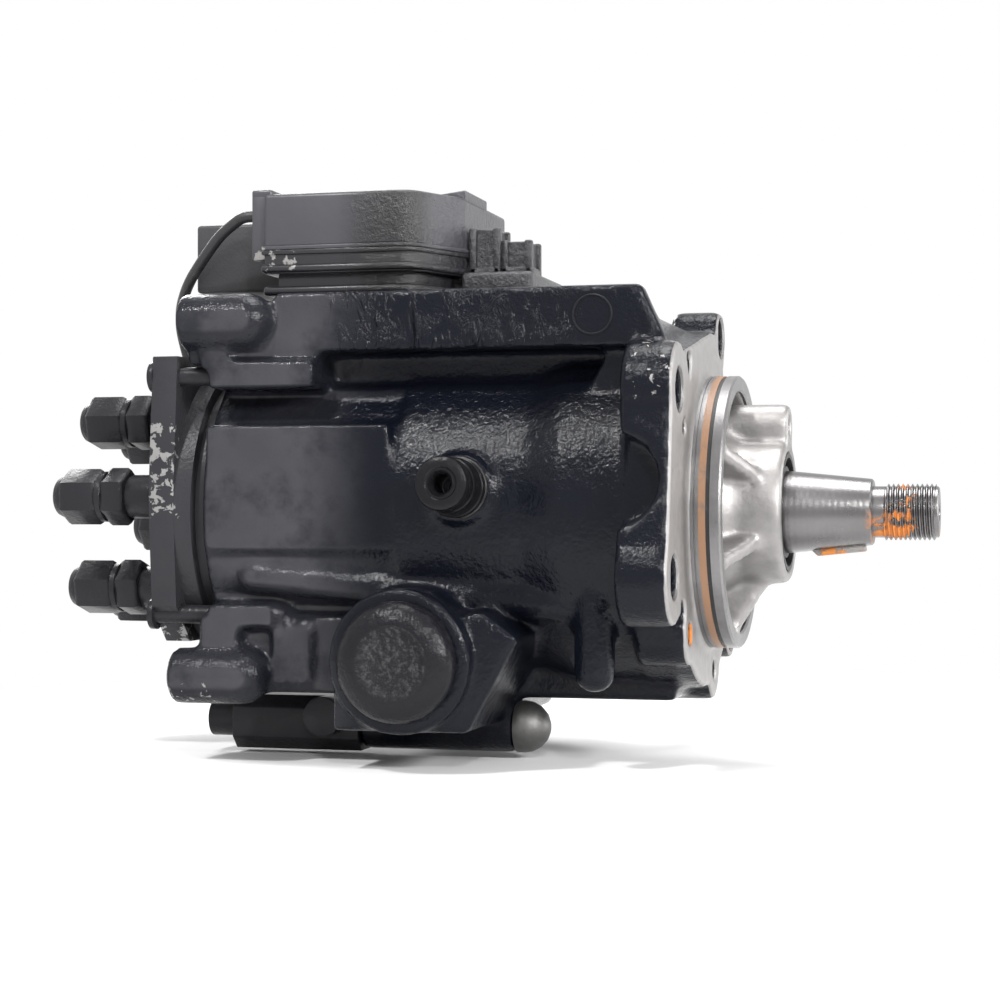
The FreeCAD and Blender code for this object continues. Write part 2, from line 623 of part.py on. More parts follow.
def build_bracket_bosses():
    """The two domed bosses that take the rear bracket."""
    pieces = []
    for name, height, rear, front in (
            ("upper_bracket", s.upper_bracket_height, s.upper_bracket_rear, s.upper_bracket_front),
            ("lower_bracket", s.lower_bracket_height, s.lower_bracket_rear, s.lower_bracket_front)):
        pieces.append(rod(name, s.bracket_radius, rear - front, (-rear, -s.bracket_side, height)))
        pieces.append(ball(name + "_dome", s.bracket_radius, (-front, -s.bracket_side, height)))
    upper_foot = s.upper_bolt_height + s.plate_bolt_radius + 0.5
    pieces.append(box("upper_bracket_neck", (-s.upper_bracket_rear + 0.5, -s.bracket_side, upper_foot),
                      (-s.barrel_rear - 0.5, -s.bracket_side + 11, s.upper_bracket_height - 4)))
    pieces.append(box("slotted_block", (-s.barrel_rear - 0.5, -s.bracket_side - 2.5, s.upper_bolt_height + 2),
                      (-s.barrel_rear + 9.5, -s.bracket_side + 10, s.upper_bracket_height - 8)))
    pieces.append(box("bracket_web", (-s.barrel_rear + 9, -s.bracket_side + 1, s.upper_bolt_height + 2),
                      (-s.upper_bracket_front + 9, -s.bracket_side + 12, s.upper_bracket_height - 5)))
    reach = s.bracket_side + 3
    pieces.append(box("lower_bracket_neck", (-s.lower_bracket_rear + 9, -reach, s.lower_bracket_height + 6),
                      (-s.lower_bracket_front - 1, -reach + 13, s.lower_bolt_height)))
    pieces.append(box("lower_bracket_web", (-s.lower_bracket_front - 6, -s.bracket_side + 3, -58),
                      (-s.cam_centre - 20, -s.bracket_side + 16, s.lower_bolt_height)))
    pillar_foot = -55
    pieces.append(box("lower_pillar", (-s.barrel_rear + 22.8, -s.bracket_side + 0.5, pillar_foot),
                      (-s.barrel_rear + 27.5, -s.bracket_side + 14, s.lower_bolt_height + 3)))
    column_radius = 5.2
    column_top = s.lower_bolt_height - 4.5
    column_place = (-s.barrel_rear + 33.2, -s.bracket_side + 5.5)
    pieces.append(rod("lower_column", column_radius, column_top - pillar_foot, (*column_place, pillar_foot), "Z"))
    pieces.append(ball("lower_column_dome", column_radius, (*column_place, column_top)))
    return pieces


def build_bolt_bosses():
    """The four bosses that take the head bolts."""
    half = 4.6
    low_half = 4.0
    pieces = []
    for number, (side, height) in enumerate(BOLT_PLACES):
        upper = number < 2
        tall = half if upper else low_half
        length = 35.8 if upper else 22.3
        front = s.barrel_rear - 2 - length
        pieces.append(box("bolt_boss_" + str(number), (-s.barrel_rear + 2, side - 7, height - tall),
                          (-front, side + 7, height + tall)))
        root = side + 20 if number % 2 == 0 else side - 20
        low, high = (side, root) if number % 2 == 0 else (root, side)
        pieces.append(box("bolt_web_" + str(number), (-s.barrel_rear + 2, low, height - tall),
                          (-front, high, height + tall - 0.5)))
    return pieces


def build_timing_case():
    """The timing cylinder across the pump, its block and the gallery below."""
    at = (-s.cam_centre, -s.timing_near, s.timing_height)
    case = rod("timing_case", s.timing_case, s.timing_near + s.timing_far, at, "Y")
    left = -s.cam_centre - s.timing_case
    right = -s.cam_centre + 20.5
    block = padded("timing_block", "XZ_Plane", [
        (left, s.timing_height),
        (left, s.timing_block_bottom),
        (right, s.timing_block_bottom),
        (right + 16.1, s.timing_height + 7.5),
        (right + 4, s.timing_height + 16),
    ], s.timing_far - 4, s.timing_far - 4 + s.timing_block_near)
    keel = box("keel", (right, -16, s.gallery_height + s.gallery_radius + 1), (-s.flange_thickness / 2, 26, -40))
    gallery = rod("gallery", s.gallery_radius, s.gallery_rear - s.gallery_front,
                  (-s.gallery_rear, s.gallery_side, s.gallery_height))
    shoe = box("gallery_shoe", (-s.gallery_rear, s.gallery_side - s.gallery_radius, s.gallery_height),
               (-s.gallery_front, s.gallery_side + s.gallery_radius, s.timing_block_bottom + 8))
    return [case, block, keel, gallery, shoe]


def build_unions_bosses():
    """The bosses under the return and inlet unions."""
    tilt = FreeCAD.Rotation(FreeCAD.Vector(0, 0, 1), union_direction())
    near = rod("union_boss", s.union_radius + 2.5, 14, (-s.union_place, -s.shoulder_radius + 12,
                                                         s.union_height - 1.6), tilt)
    far = rod("inlet_boss", s.union_radius + 3.5, s.inlet_boss - 36, (-s.inlet_place, 36, s.inlet_height), "Y")
    return [near, far]


def union_direction():
    """The way out along the return union."""
    return FreeCAD.Vector(0, -s.union_tilt.cosine().value, s.union_tilt.sine().value)


def union_root():
    """The point where the return union sits on its boss."""
    start = vector((-s.union_place, -s.shoulder_radius + 12, s.union_height - 1.6))
    return start + union_direction() * 14


def housing_bores():
    """Everything that is cut out of the casting."""
    past = 1
    bore = turned("main_bore", [
        (-s.barrel_rear - past, 0),
        (-s.barrel_rear - past, s.head_bore + s.running_gap),
        (-s.barrel_rear + s.head_depth, s.head_bore + s.running_gap),
        (-s.barrel_rear + s.head_depth, s.ring_bore),
        (-s.vane_pump_front, s.ring_bore),
        (-s.vane_pump_front, s.journal_radius + s.bush_wall),
        (s.nose_length - s.shaft_seal_depth, s.journal_radius + s.bush_wall),
        (s.nose_length - s.shaft_seal_depth, s.shaft_seal_radius),
        (s.nose_length + past, s.shaft_seal_radius),
        (s.nose_length + past, 0),
    ])
    groove = tube("ring_groove", s.pilot_radius + 3, s.pilot_radius - s.ring_depth,
                  s.seal_ring_width + s.backup_ring_width, (s.ring_start, 0, 0))
    tools = [bore, groove]
    for number, angle in enumerate(MOUNT_ANGLES):
        tools.append(rod("mount_hole_" + str(number), s.mount_hole, s.flange_thickness + 2 * past,
                         (-s.flange_thickness - past, *around(s.mount_circle, angle))))
    for number, (circle, angle) in enumerate(DOWELS):
        tools.append(rod("dowel_hole_" + str(number), s.dowel_hole, s.flange_thickness + 2 * past,
                         (-s.flange_thickness - past, *around(circle, angle))))
    tools.append(rod("lug_drill", s.lug_hole, 14, (s.nose_length + past - 14, 0, s.lug_height)))
    scallop_height = 9.5
    tools.append(rod("scallop", s.scallop_radius, s.mount_circle + 16 - s.flare_radius - 1,
                     (-s.scallop_floor - s.scallop_radius, -s.mount_circle - 16, scallop_height), "Y"))
    corner_pocket = doc.addObject("Part::Prism", "corner_pocket")
    corner_pocket.Polygon = 3
    bind(corner_pocket, "Circumradius", 5.5)
    bind(corner_pocket, "Height", s.pocket_depth + past)
    tools.append(place(corner_pocket, (-s.pocket_depth, -35.1, 46.4), TURNS["X"]))
    for name, radius, angle, circle in (("upper_pocket", 2.6, 149.5, 51.2), ("lower_pocket", 4.0, 213.9, 55.2)):
        tools.append(rod(name, radius, s.pocket_depth + past, (-s.pocket_depth, *around(circle, angle))))
    tools.append(rod("timing_drill", s.timing_bore, s.timing_near + s.timing_far + 2 * past,
                     (-s.cam_centre, -s.timing_near - past, s.timing_height), "Y"))
    tools.append(rod("near_counterbore", s.cover_spigot, s.cover_spigot_length + past,
                     (-s.cam_centre, -s.timing_near - past, s.timing_height), "Y"))
    tools.append(rod("far_counterbore", s.cover_spigot, s.cover_spigot_length + past,
                     (-s.cam_centre, s.timing_far - s.cover_spigot_length, s.timing_height), "Y"))
    slot = s.pin_radius + 1
    tools.append(box("pin_window", (-s.cam_centre - slot, -12, s.timing_height + 8),
                     (-s.cam_centre + slot, 12, -s.ring_bore + 6)))
    for name, height, rear in (("upper_bracket", s.upper_bracket_height, s.upper_bracket_rear),
                               ("lower_bracket", s.lower_bracket_height, s.lower_bracket_rear)):
        tools.append(rod(name + "_drill", s.bracket_thread, s.bracket_depth + past,
                         (-rear - past, -s.bracket_side, height)))
    for number, (side, height) in enumerate(BOLT_PLACES):
        tools.append(rod("bolt_drill_" + str(number), s.plate_bolt_radius + s.running_gap,
                         s.bolt_depth + 6, (-s.barrel_rear - 2, side, height)))
    tilt = FreeCAD.Rotation(FreeCAD.Vector(0, 0, 1), union_direction())
    tools.append(rod("union_drill", s.union_shank + s.running_gap, 13, union_root() - union_direction() * 12, tilt))
    tools.append(rod("union_passage", s.union_bore, 26, union_root() - union_direction() * 26, tilt))
    tools.append(rod("inlet_drill", s.union_shank + s.running_gap, 13,
                     (-s.inlet_place, s.inlet_boss - 12, s.inlet_height), "Y"))
    tools.append(rod("inlet_passage", s.inlet_bore, 34,
                     (-s.inlet_place, s.inlet_boss - 34, s.inlet_height), "Y"))
    tools.append(rod("gallery_drill", s.gallery_bore, s.gallery_rear - s.gallery_front + 2 * past,
                     (-s.gallery_rear - past, s.gallery_side, s.gallery_height)))
    for number, place_of_screw in enumerate(unit_screw_places()):
        tools.append(rod("unit_drill_" + str(number), s.unit_screw + s.running_gap, 10,
                         (place_of_screw[0], place_of_screw[1], s.deck_top - 10), "Z"))
    return tools


def unit_screw_places():
    """The X and Y of the four screws that hold the control unit."""
    rear, front = -s.unit_rear + 16, -s.unit_front - 16
    near, far = -s.unit_near + 9, s.unit_far - 9
    return [(rear, near), (front, near), (rear, far), (front, far)]


def build_housing():
    """The cast housing."""
    solid = fuse("casting", [build_core()] + build_flange() + build_nose_ribs() + build_deck()
                 + build_side_forms() + build_bracket_bosses() + build_bolt_bosses()
                 + build_timing_case() + build_unions_bosses())
    keep("pump_housing", cut("housing", solid, housing_bores()))


def build_pilot_rings():
    """The two rings in the pilot's groove."""
    floor = s.pilot_radius - s.ring_depth
    keep("pilot_seal_ring", tube("seal_ring", s.pilot_radius - s.ring_relief, floor,
                                 s.seal_ring_width, (s.ring_start, 0, 0)))
    keep("pilot_backup_ring", tube("backup_ring", s.pilot_radius - 0.4, floor,
                                   s.backup_ring_width, (s.ring_start + s.seal_ring_width, 0, 0)))


def build_shaft():
    """The drive shaft with cone, thread and driving tongue, and its key."""
    cone_end = s.nose_length + s.taper_length
    cone_radius = s.journal_radius - s.taper_rate * s.taper_length
    tip = cone_end + s.undercut_length + s.thread_length
    step = s.thread_radius - s.undercut_radius
    rear = -(s.cam_centre - s.cam_width / 2)
    tongue_depth = 4.8
    profile = [
        (rear, 0), (rear, s.shaft_core),
        (-s.vane_pump_front + 1, s.shaft_core),
        (-s.vane_pump_front + 1, s.journal_radius),
        (s.nose_length, s.journal_radius),
        (cone_end, cone_radius),
        (cone_end, s.undercut_radius),
        (cone_end + s.undercut_length - step, s.undercut_radius),
        (cone_end + s.undercut_length, s.thread_radius),
        (tip - s.thread_chamfer, s.thread_radius),
        (tip, s.thread_radius - s.thread_chamfer),
        (tip, s.centre_drill),
        (tip - s.centre_drill * 2, 0),
    ]
    turned_shaft = turned("shaft_profile", profile)
    half = s.tongue_width / 2
    tongue = box("tongue", (rear - tongue_depth, -half, -s.shaft_core + 3), (rear + 1, half, s.shaft_core - 3))
    lean = FreeCAD.Rotation(FreeCAD.Vector(0, 1, 0), -math.degrees(math.atan(s.taper_rate.value)))
    surface = s.journal_radius - s.taper_rate * (s.key_start - s.nose_length)

    def key_block(name):
        block = doc.addObject("Part::Box", name)
        bind(block, "Length", s.key_length)
        bind(block, "Width", s.key_width)
        bind(block, "Height", s.key_proud + s.key_depth)
        return place(block, (s.key_start, -s.key_width / 2, -surface - s.key_proud), lean)

    shaft = fuse("shaft_solid", [turned_shaft, tongue])
    keep("drive_shaft", cut("shaft_with_keyway", shaft, [key_block("keyway")]))
    slope = padded("key_slope", "XZ_Plane", [
        (s.key_start - 1, -surface - s.key_proud - 1),
        (s.key_start + 3, -surface - s.key_proud - 1),
        (s.key_start - 1, -surface - s.key_proud + 2.5),
    ], s.key_width, s.key_width * 2)
    keep("shaft_key", cut("key", key_block("key_blank"), [slope]))


def build_front_end():
    """The shaft seal and the front bearing bush."""
    bore = s.journal_radius + s.running_gap
    front = s.nose_length - 0.5
    back = s.nose_length - s.shaft_seal_depth
    middle = (s.shaft_seal_radius + bore) / 2
    lip = 1.4
    keep("shaft_seal", turned("seal_profile", [
        (back, s.shaft_seal_radius), (front, s.shaft_seal_radius), (front, middle + lip),
        (front - 2.5, middle + lip), (front - 2.5, middle - lip), (front - 0.8, middle - lip),
        (front - 0.8, bore), (back + 2, bore), (back + 2, middle), (back, middle)]))
    keep("front_bearing", tube("front_bush", s.journal_radius + s.bush_wall, bore, s.bush_length,
                               (s.bush_end - s.bush_length, 0, 0)))


def build_vane_pump():
    """The supply pump on the drive shaft."""
    front = -s.vane_pump_front
    rear = front - s.vane_pump_length
    outer = s.ring_bore - s.ring_fit
    ring = rod("vane_ring_blank", outer, s.vane_pump_length, (rear, 0, 0))
    keep("vane_ring", cut("eccentric_ring", ring, [
        rod("eccentric_bore", s.vane_bore, s.vane_pump_length, (rear, 0, s.vane_offset))]))
    side_gap = 0.1
    width = s.vane_pump_length - 2 * side_gap
    rotor = tube("vane_rotor_blank", s.vane_rotor_radius, s.shaft_core, width, (rear + side_gap, 0, 0))
    slots, vanes = [], []
    slot_floor = s.vane_rotor_radius - 5
    for number in range(5):
        angle = 18 + 72 * number
        half = s.vane_width / 2
        slot = box("vane_slot_" + str(number), (rear, -half, slot_floor), (front, half, s.vane_rotor_radius + 2))
        slots.append(spin_box(slot, angle))
        vane = box("vane_" + str(number), (rear + side_gap, -half, slot_floor + 0.2),
                   (front - side_gap, half, s.vane_rotor_radius + s.vane_reach))
        vanes.append(spin_box(vane, angle))
    keep("vane_rotor", cut("slotted_rotor", rotor, slots))
    keep("vanes", group("vane_set", vanes))
    plate_rear = rear - s.port_plate
    plate = rod("port_plate_blank", outer, s.port_plate, (plate_rear, 0, 0))
    ports = [rod("port_plate_bore", s.shaft_core + s.rear_bush_wall, s.port_plate, (plate_rear, 0, 0))]
    for number, angle in enumerate((-30, 0, 30, 150, 180, 210)):
        ports.append(rod("port_" + str(number), 2.4, s.port_plate, (plate_rear, *around(18.4, angle))))
    keep("vane_port_plate", cut("port_plate_solid", plate, ports))
    keep("rear_bearing", tube("rear_bush", s.shaft_core + s.rear_bush_wall, s.shaft_core + s.running_gap,
                              s.port_plate, (plate_rear, 0, 0)))
    return plate_rear


def spin_box(feature, angle):
    """Turns a placed box about the shaft axis."""
    turn = FreeCAD.Rotation(FreeCAD.Vector(1, 0, 0), angle)
    base = feature.Placement.Base
    for axis in "xyz":
        feature.setExpression("Placement.Base." + axis, None)
    feature.Placement = FreeCAD.Placement(turn.multVec(base), turn)
    return feature


def build_tooth_ring(plate_rear):
    """The toothed ring that the rotation sensor reads."""
    body = doc.addObject("PartDesign::Body", "tooth_ring_body")
    start = plate_rear - s.tooth_ring_gap - s.tooth_ring_width
    crown = s.tooth_ring_radius + s.tooth_height
    profile = outline(body, "tooth_ring_profile", "XZ_Plane", [
        (start, s.shaft_core), (start + s.tooth_ring_width, s.shaft_core),
        (start + s.tooth_ring_width, crown), (start, crown)])
    blank = body.newObject("PartDesign::Revolution", "tooth_ring_blank")
    blank.Profile = profile
    blank.ReferenceAxis = (profile, ["H_Axis"])
    blank.Angle = 360
    for name, half, count in (("tooth_gap", 1.5, 30), ("long_gap", 3.4, 6)):
        gap = outline(body, name, "YZ_Plane", [
            (-half, s.tooth_ring_radius), (half, s.tooth_ring_radius),
            (half, crown + 1), (-half, crown + 1)], start - 1)
        pocket = body.newObject("PartDesign::Pocket", name + "_pocket")
        pocket.Profile = gap
        bind(pocket, "Length", s.tooth_ring_width + 2)
        pocket.Reversed = True
        pattern = body.newObject("PartDesign::PolarPattern", name + "_pattern")
        pattern.Originals = [pocket]
        pattern.Axis = (profile, ["H_Axis"])
        pattern.Angle = 360
        pattern.Occurrences = count
        body.Tip = pattern
    keep("increment_ring", body)
    return start


def build_cam(tooth_start):
    """The cam ring, its pin and the sensor that turns with it."""
    outer = s.ring_bore - s.ring_fit
    rear = -s.cam_centre - s.cam_width / 2
    ring = tube("cam_blank", outer, s.cam_base, s.cam_width, (rear, 0, 0))
    bumps = []
    for number in range(6):
        bumps.append(rod("cam_bump_" + str(number), s.cam_lobe, s.cam_width,
                         (rear, *around(s.cam_peak + s.cam_lobe, 30 + 60 * number))))
    trimmed = overlap("cam_bumps_trimmed", fuse("cam_bumps", bumps),
                      rod("cam_disc", outer, s.cam_width, (rear, 0, 0)))
    ring = fuse("cam_solid", [ring, trimmed])
    lean = Size.of(s.timing_advance / 2)
    down = FreeCAD.Vector(0, -lean.sine().value, -lean.cosine().value)
    turn = FreeCAD.Rotation(FreeCAD.Vector(0, 0, 1), down)
    seat = s.cam_base.value + 2.5
    foot = vector((-s.cam_centre, 0, 0)) + down * seat
    keep("cam_ring", cut("cam_with_seat", ring, [rod("pin_seat", s.pin_radius, 12, foot, turn)]))
    arm = abs(s.timing_height.value)
    shank = rod("pin_shank", s.pin_radius, outer.value - seat, foot, turn)
    neck = rod("pin_neck", s.pin_neck, arm - seat, foot, turn)
    tip = ball("pin_tip", s.pin_ball, vector((-s.cam_centre, 0, 0)) + down * arm)
    keep("cam_ring_pin", fuse("pin_solid", [shank, neck, tip]))
    front = -s.cam_centre + s.cam_width / 2
    carrier = tube("sensor_ring", outer, outer - 2.5, tooth_start - 2 - front, (front, 0, 0))
    head_low = s.tooth_ring_radius + s.tooth_height + s.sensor_gap
    head = box("sensor_head", (tooth_start - 4, -5, head_low), (tooth_start + s.tooth_ring_width, 5, outer))
    inside = overlap("sensor_head_trimmed", head, rod("sensor_limit", outer, 40, (-s.cam_centre, 0, 0)))
    keep("rotation_sensor", fuse("sensor_solid", [carrier, inside]))


def build_rotor():
    """The distributor rotor with its pistons, shoes and rollers."""
    front = -s.cam_centre + s.cam_width / 2
    rear = -s.cam_centre - s.cam_width / 2
    stub = -s.plate_rear + 11
    carrier = rod("piston_carrier", s.carrier_radius, s.cam_width, (rear, 0, 0))
    stem = rod("rotor_stem", s.rotor_radius, rear - stub, (stub, 0, 0))
    half = s.tongue_width / 2
    reach = s.shaft_core - 3
    tools = [box("tongue_slot", (front - 5, -half - 0.05, -reach - 0.2), (front, half + 0.05, reach + 0.2)),
             rod("needle_bore", s.needle_radius + s.running_gap, s.needle_length + 2, (stub, 0, 0))]
    roller_place = s.cam_peak - s.roller_gap - s.roller_radius
    shoe_low = s.carrier_radius - 8.5
    half_shoe = s.shoe_width / 2
    half_roller = s.roller_length / 2
    pistons, shoes, rollers = [], [], []
    for number in range(3):
        angle = 120 * number + 60
        slot = box("shoe_slot_" + str(number), (-s.cam_centre - half_roller - 0.1, -half_shoe - 0.05, shoe_low),
                   (-s.cam_centre + half_roller + 0.1, half_shoe + 0.05, s.carrier_radius + 3))
        bore = rod("piston_bore_" + str(number), s.piston_radius + 0.03, 10, (-s.cam_centre, 0, 3.5), "Z")
        tools += [spin_box(slot, angle), spin_feature(bore, angle)]
        shoe = box("shoe_blank_" + str(number), (-s.cam_centre - half_roller, -half_shoe, shoe_low + 0.3),
                   (-s.cam_centre + half_roller, half_shoe, s.carrier_radius - 0.6))
        seat = rod("shoe_seat_" + str(number), s.roller_radius + 0.04, s.roller_length + 2,
                   (-s.cam_centre - half_roller - 1, 0, roller_place))
        shoe = cut("shoe_" + str(number), shoe, [seat])
        shoes.append(spin_feature(shoe, angle))
        roller = rod("roller_" + str(number), s.roller_radius, s.roller_length - 0.2,
                     (-s.cam_centre - half_roller + 0.1, 0, roller_place))
        rollers.append(spin_feature(roller, angle))
        piston = rod("piston_" + str(number), s.piston_radius, shoe_low + 0.3 - 5, (-s.cam_centre, 0, 5), "Z")
        pistons.append(spin_feature(piston, angle))
    keep("distributor_rotor", cut("rotor_solid", fuse("rotor_blank", [carrier, stem]), tools))
    keep("radial_pistons", group("piston_set", pistons))
    keep("roller_shoes", group("shoe_set", shoes))
    keep("rollers", group("roller_set", rollers))


def spin_feature(feature, angle):
    """Turns a placed feature about the shaft axis, with its own turn kept."""
    turn = FreeCAD.Placement(FreeCAD.Vector(), FreeCAD.Rotation(FreeCAD.Vector(1, 0, 0), angle))
    placed = feature.Placement
    for axis in "xyz":
        feature.setExpression("Placement.Base." + axis, None)
    feature.Placement = turn.multiply(placed)
    return feature


def build_head():
    """The distributor head with its plate, ring, spigot and bores."""
    plate_front = -s.plate_rear + s.plate_thickness
    corner = 3.5
    slant = 14
    plate = padded("head_plate", "YZ_Plane", [
        (-s.plate_side, s.plate_bottom + slant), (-s.plate_side, s.plate_top - corner),
        (-s.plate_side + corner, s.plate_top), (s.plate_side - corner, s.plate_top),
        (s.plate_side, s.plate_top - corner), (s.plate_side, s.plate_bottom + slant),
        (s.plate_side - slant, s.plate_bottom), (-s.plate_side + slant, s.plate_bottom),
    ], -s.plate_rear, s.plate_thickness)
    ring_front = plate_front + s.head_ring_length
    spigot_end = -s.barrel_rear + s.head_depth
    spigot = turned("head_spigot", [
        (plate_front - 1, 0), (plate_front - 1, s.plate_side), (ring_front, s.plate_side),
        (ring_front, s.head_bore + 2), (-s.barrel_rear, s.head_bore + 2), (-s.barrel_rear, s.head_bore),
        (-s.barrel_rear + 6, s.head_bore), (-s.barrel_rear + 6, s.head_bore - 2),
        (-s.barrel_rear + 9, s.head_bore - 2), (-s.barrel_rear + 9, s.head_bore),
        (spigot_end - 1, s.head_bore), (spigot_end, s.head_bore - 1), (spigot_end, 0)])
    tools = [rod("barrel_seat", s.barrel_sleeve, s.plate_rear + 1, (-s.plate_rear + 9, 0, 0)),
             rod("solenoid_seat", s.solenoid_radius - s.solenoid_wall, 10, (-s.plate_rear - 1, 0, 0))]
    for number in OUTLETS:
        side, height = around(s.outlet_circle, outlet_angle(number))
        tools.append(rod("holder_bore_" + str(number), s.holder_shank + 0.03, s.holder_depth + 1,
                         (-s.plate_rear - 1, side, height)))
        inner_side, inner_height = around(s.barrel_sleeve, outlet_angle(number))
        start = vector((-s.plate_rear + s.holder_depth - 0.5, side, height))
        run = vector((-s.plate_rear + s.holder_depth + 14, inner_side, inner_height)) - start
        tools.append(rod("outlet_passage_" + str(number), 1.2, run.Length, start,
                         FreeCAD.Rotation(FreeCAD.Vector(0, 0, 1), run)))
    for number, (side, height) in enumerate(BOLT_PLACES):
        tools.append(rod("plate_hole_" + str(number), s.plate_bolt_radius + 0.2, s.plate_thickness + 2,
                         (-s.plate_rear - 1, side, height)))
    keep("distributor_head", cut("head_solid", fuse("head_blank", [plate, spigot]), tools))
    sleeve_start = -s.plate_rear + 9
    keep("distributor_barrel", tube("barrel_solid", s.barrel_sleeve, s.rotor_radius + 0.03,
                                    spigot_end - sleeve_start, (sleeve_start, 0, 0)))


def outlet_angle(number):
    """The angle of one delivery fitting."""
    return s.outlet_angle + 60 * number


def build_plate_bolts():
    """The four bolts that hold the head."""
    bolts = []
    for number, (side, height) in enumerate(BOLT_PLACES):
        shank = rod("bolt_shank_" + str(number), s.plate_bolt_radius,
                    s.plate_rear - s.barrel_rear + s.bolt_depth, (-s.plate_rear, side, height))
        head = rod("bolt_head_" + str(number), s.bolt_head_radius, s.bolt_head_length,
                   (-s.plate_rear - s.bolt_head_length, side, height))
        socket = hexagon("bolt_socket_" + str(number), s.bolt_head_radius / 2 + 0.3, 2.5,
                         (-s.plate_rear - s.bolt_head_length, side, height))
        bolts.append(cut("bolt_" + str(number), fuse("bolt_blank_" + str(number), [shank, head]), [socket]))
    keep("plate_bolts", group("bolt_set", bolts))


def build_delivery():
    """The delivery valve holders with their valves, springs and caps."""
    holders, springs, caps = [], [], []
    collar_rear = -s.plate_rear - s.holder_collar
    neck_rear = collar_rear - s.holder_neck
    hex_rear = neck_rear - s.holder_hex
    seat = -s.plate_rear + s.holder_depth
    spring_rear = -s.plate_rear + 1
    for number in OUTLETS:
        tag = "_" + str(number + 1)
        side, height = around(s.outlet_circle, outlet_angle(number))
        shank = rod("holder_shank" + tag, s.holder_shank, s.holder_depth, (-s.plate_rear, side, height))
        collar = rod("holder_collar" + tag, s.holder_collar_radius, s.holder_collar, (collar_rear, side, height))
        neck = rod("holder_neck" + tag, s.holder_neck_radius, s.holder_neck, (neck_rear, side, height))
        hexa = hexagon("holder_hex" + tag, s.hex_radius, s.holder_hex, (hex_rear, side, height))
        stub = rod("holder_stub" + tag, s.holder_neck_radius - 0.4, s.cap_collar + s.cap_hex - 4,
                   (hex_rear - s.cap_collar - s.cap_hex + 4, side, height))
        blank = fuse("holder_blank" + tag, [shank, collar, neck, hexa, stub])
        bore = rod("holder_bore_in" + tag, s.valve_bore, s.holder_depth - 1, (spring_rear, side, height))
        outlet = rod("holder_outlet" + tag, 1.4, 60, (spring_rear - 60, side, height))
        holders.append(cut("holder" + tag, blank, [bore, outlet]))
        valve_front = seat - s.valve_seat_gap
        stem = rod("valve_stem" + tag, s.valve_radius, s.valve_length - 1.5,
                   (valve_front - s.valve_length, side, height))
        nose = cone("valve_nose" + tag, s.valve_radius, 1.2, 1.5, (valve_front - 1.5, side, height))
        keep("delivery_valve" + tag, fuse("delivery_valve_solid" + tag, [stem, nose]))
        spring_front = valve_front - s.valve_length - s.valve_lift - 0.1
        springs.append(tube("delivery_spring" + tag, s.valve_radius - 0.2, s.valve_radius - 1.0,
                            spring_front - spring_rear, (spring_rear, side, height)))
        skirt = rod("cap_skirt" + tag, s.holder_collar_radius, s.cap_collar,
                    (hex_rear - s.cap_collar, side, height))
        cap_hex_rear = hex_rear - s.cap_collar - s.cap_hex
        grip = hexagon("cap_grip" + tag, s.hex_radius - 0.3, s.cap_hex, (cap_hex_rear, side, height))
        tip = cone("cap_tip" + tag, s.holder_neck_radius - 1.2, s.holder_neck_radius, s.cap_tip,
                   (cap_hex_rear - s.cap_tip, side, height))
        hole = rod("cap_hole" + tag, s.holder_neck_radius - 0.4, s.cap_collar + s.cap_hex - 4,
                   (cap_hex_rear + 4, side, height))
        caps.append(cut("cap" + tag, fuse("cap_blank" + tag, [skirt, grip, tip]), [hole]))
    keep("delivery_holders", group("holder_set", holders))
    keep("delivery_springs", group("delivery_spring_set", springs))
    keep("delivery_caps", group("cap_set", caps))


def build_solenoid():
    """The high-pressure solenoid valve in the middle of the head."""
    rear = -s.plate_rear - s.solenoid_length
    edge = 2.5
    inner = s.solenoid_radius - s.solenoid_wall
    keep("solenoid_body", turned("solenoid_cup", [
        (rear, 0), (rear, s.solenoid_radius - edge), (rear + edge * 0.3, s.solenoid_radius - edge * 0.3),
        (rear + edge, s.solenoid_radius), (-s.plate_rear, s.solenoid_radius), (-s.plate_rear, inner),
        (rear + s.solenoid_wall, inner), (rear + s.solenoid_wall, 0)]))
    coil_length = 8
    keep("solenoid_coil", tube("coil_solid", inner - 0.1, 4.5, coil_length, (rear + s.solenoid_wall, 0, 0)))
    plate = rear + s.solenoid_wall + coil_length + 0.8
    armature = rod("armature", s.armature_radius, 2.5, (plate, 0, 0))
    needle = rod("needle", s.needle_radius, s.needle_length, (plate + 2.4, 0, 0))
    keep("solenoid_needle", fuse("needle_solid", [armature, needle]))


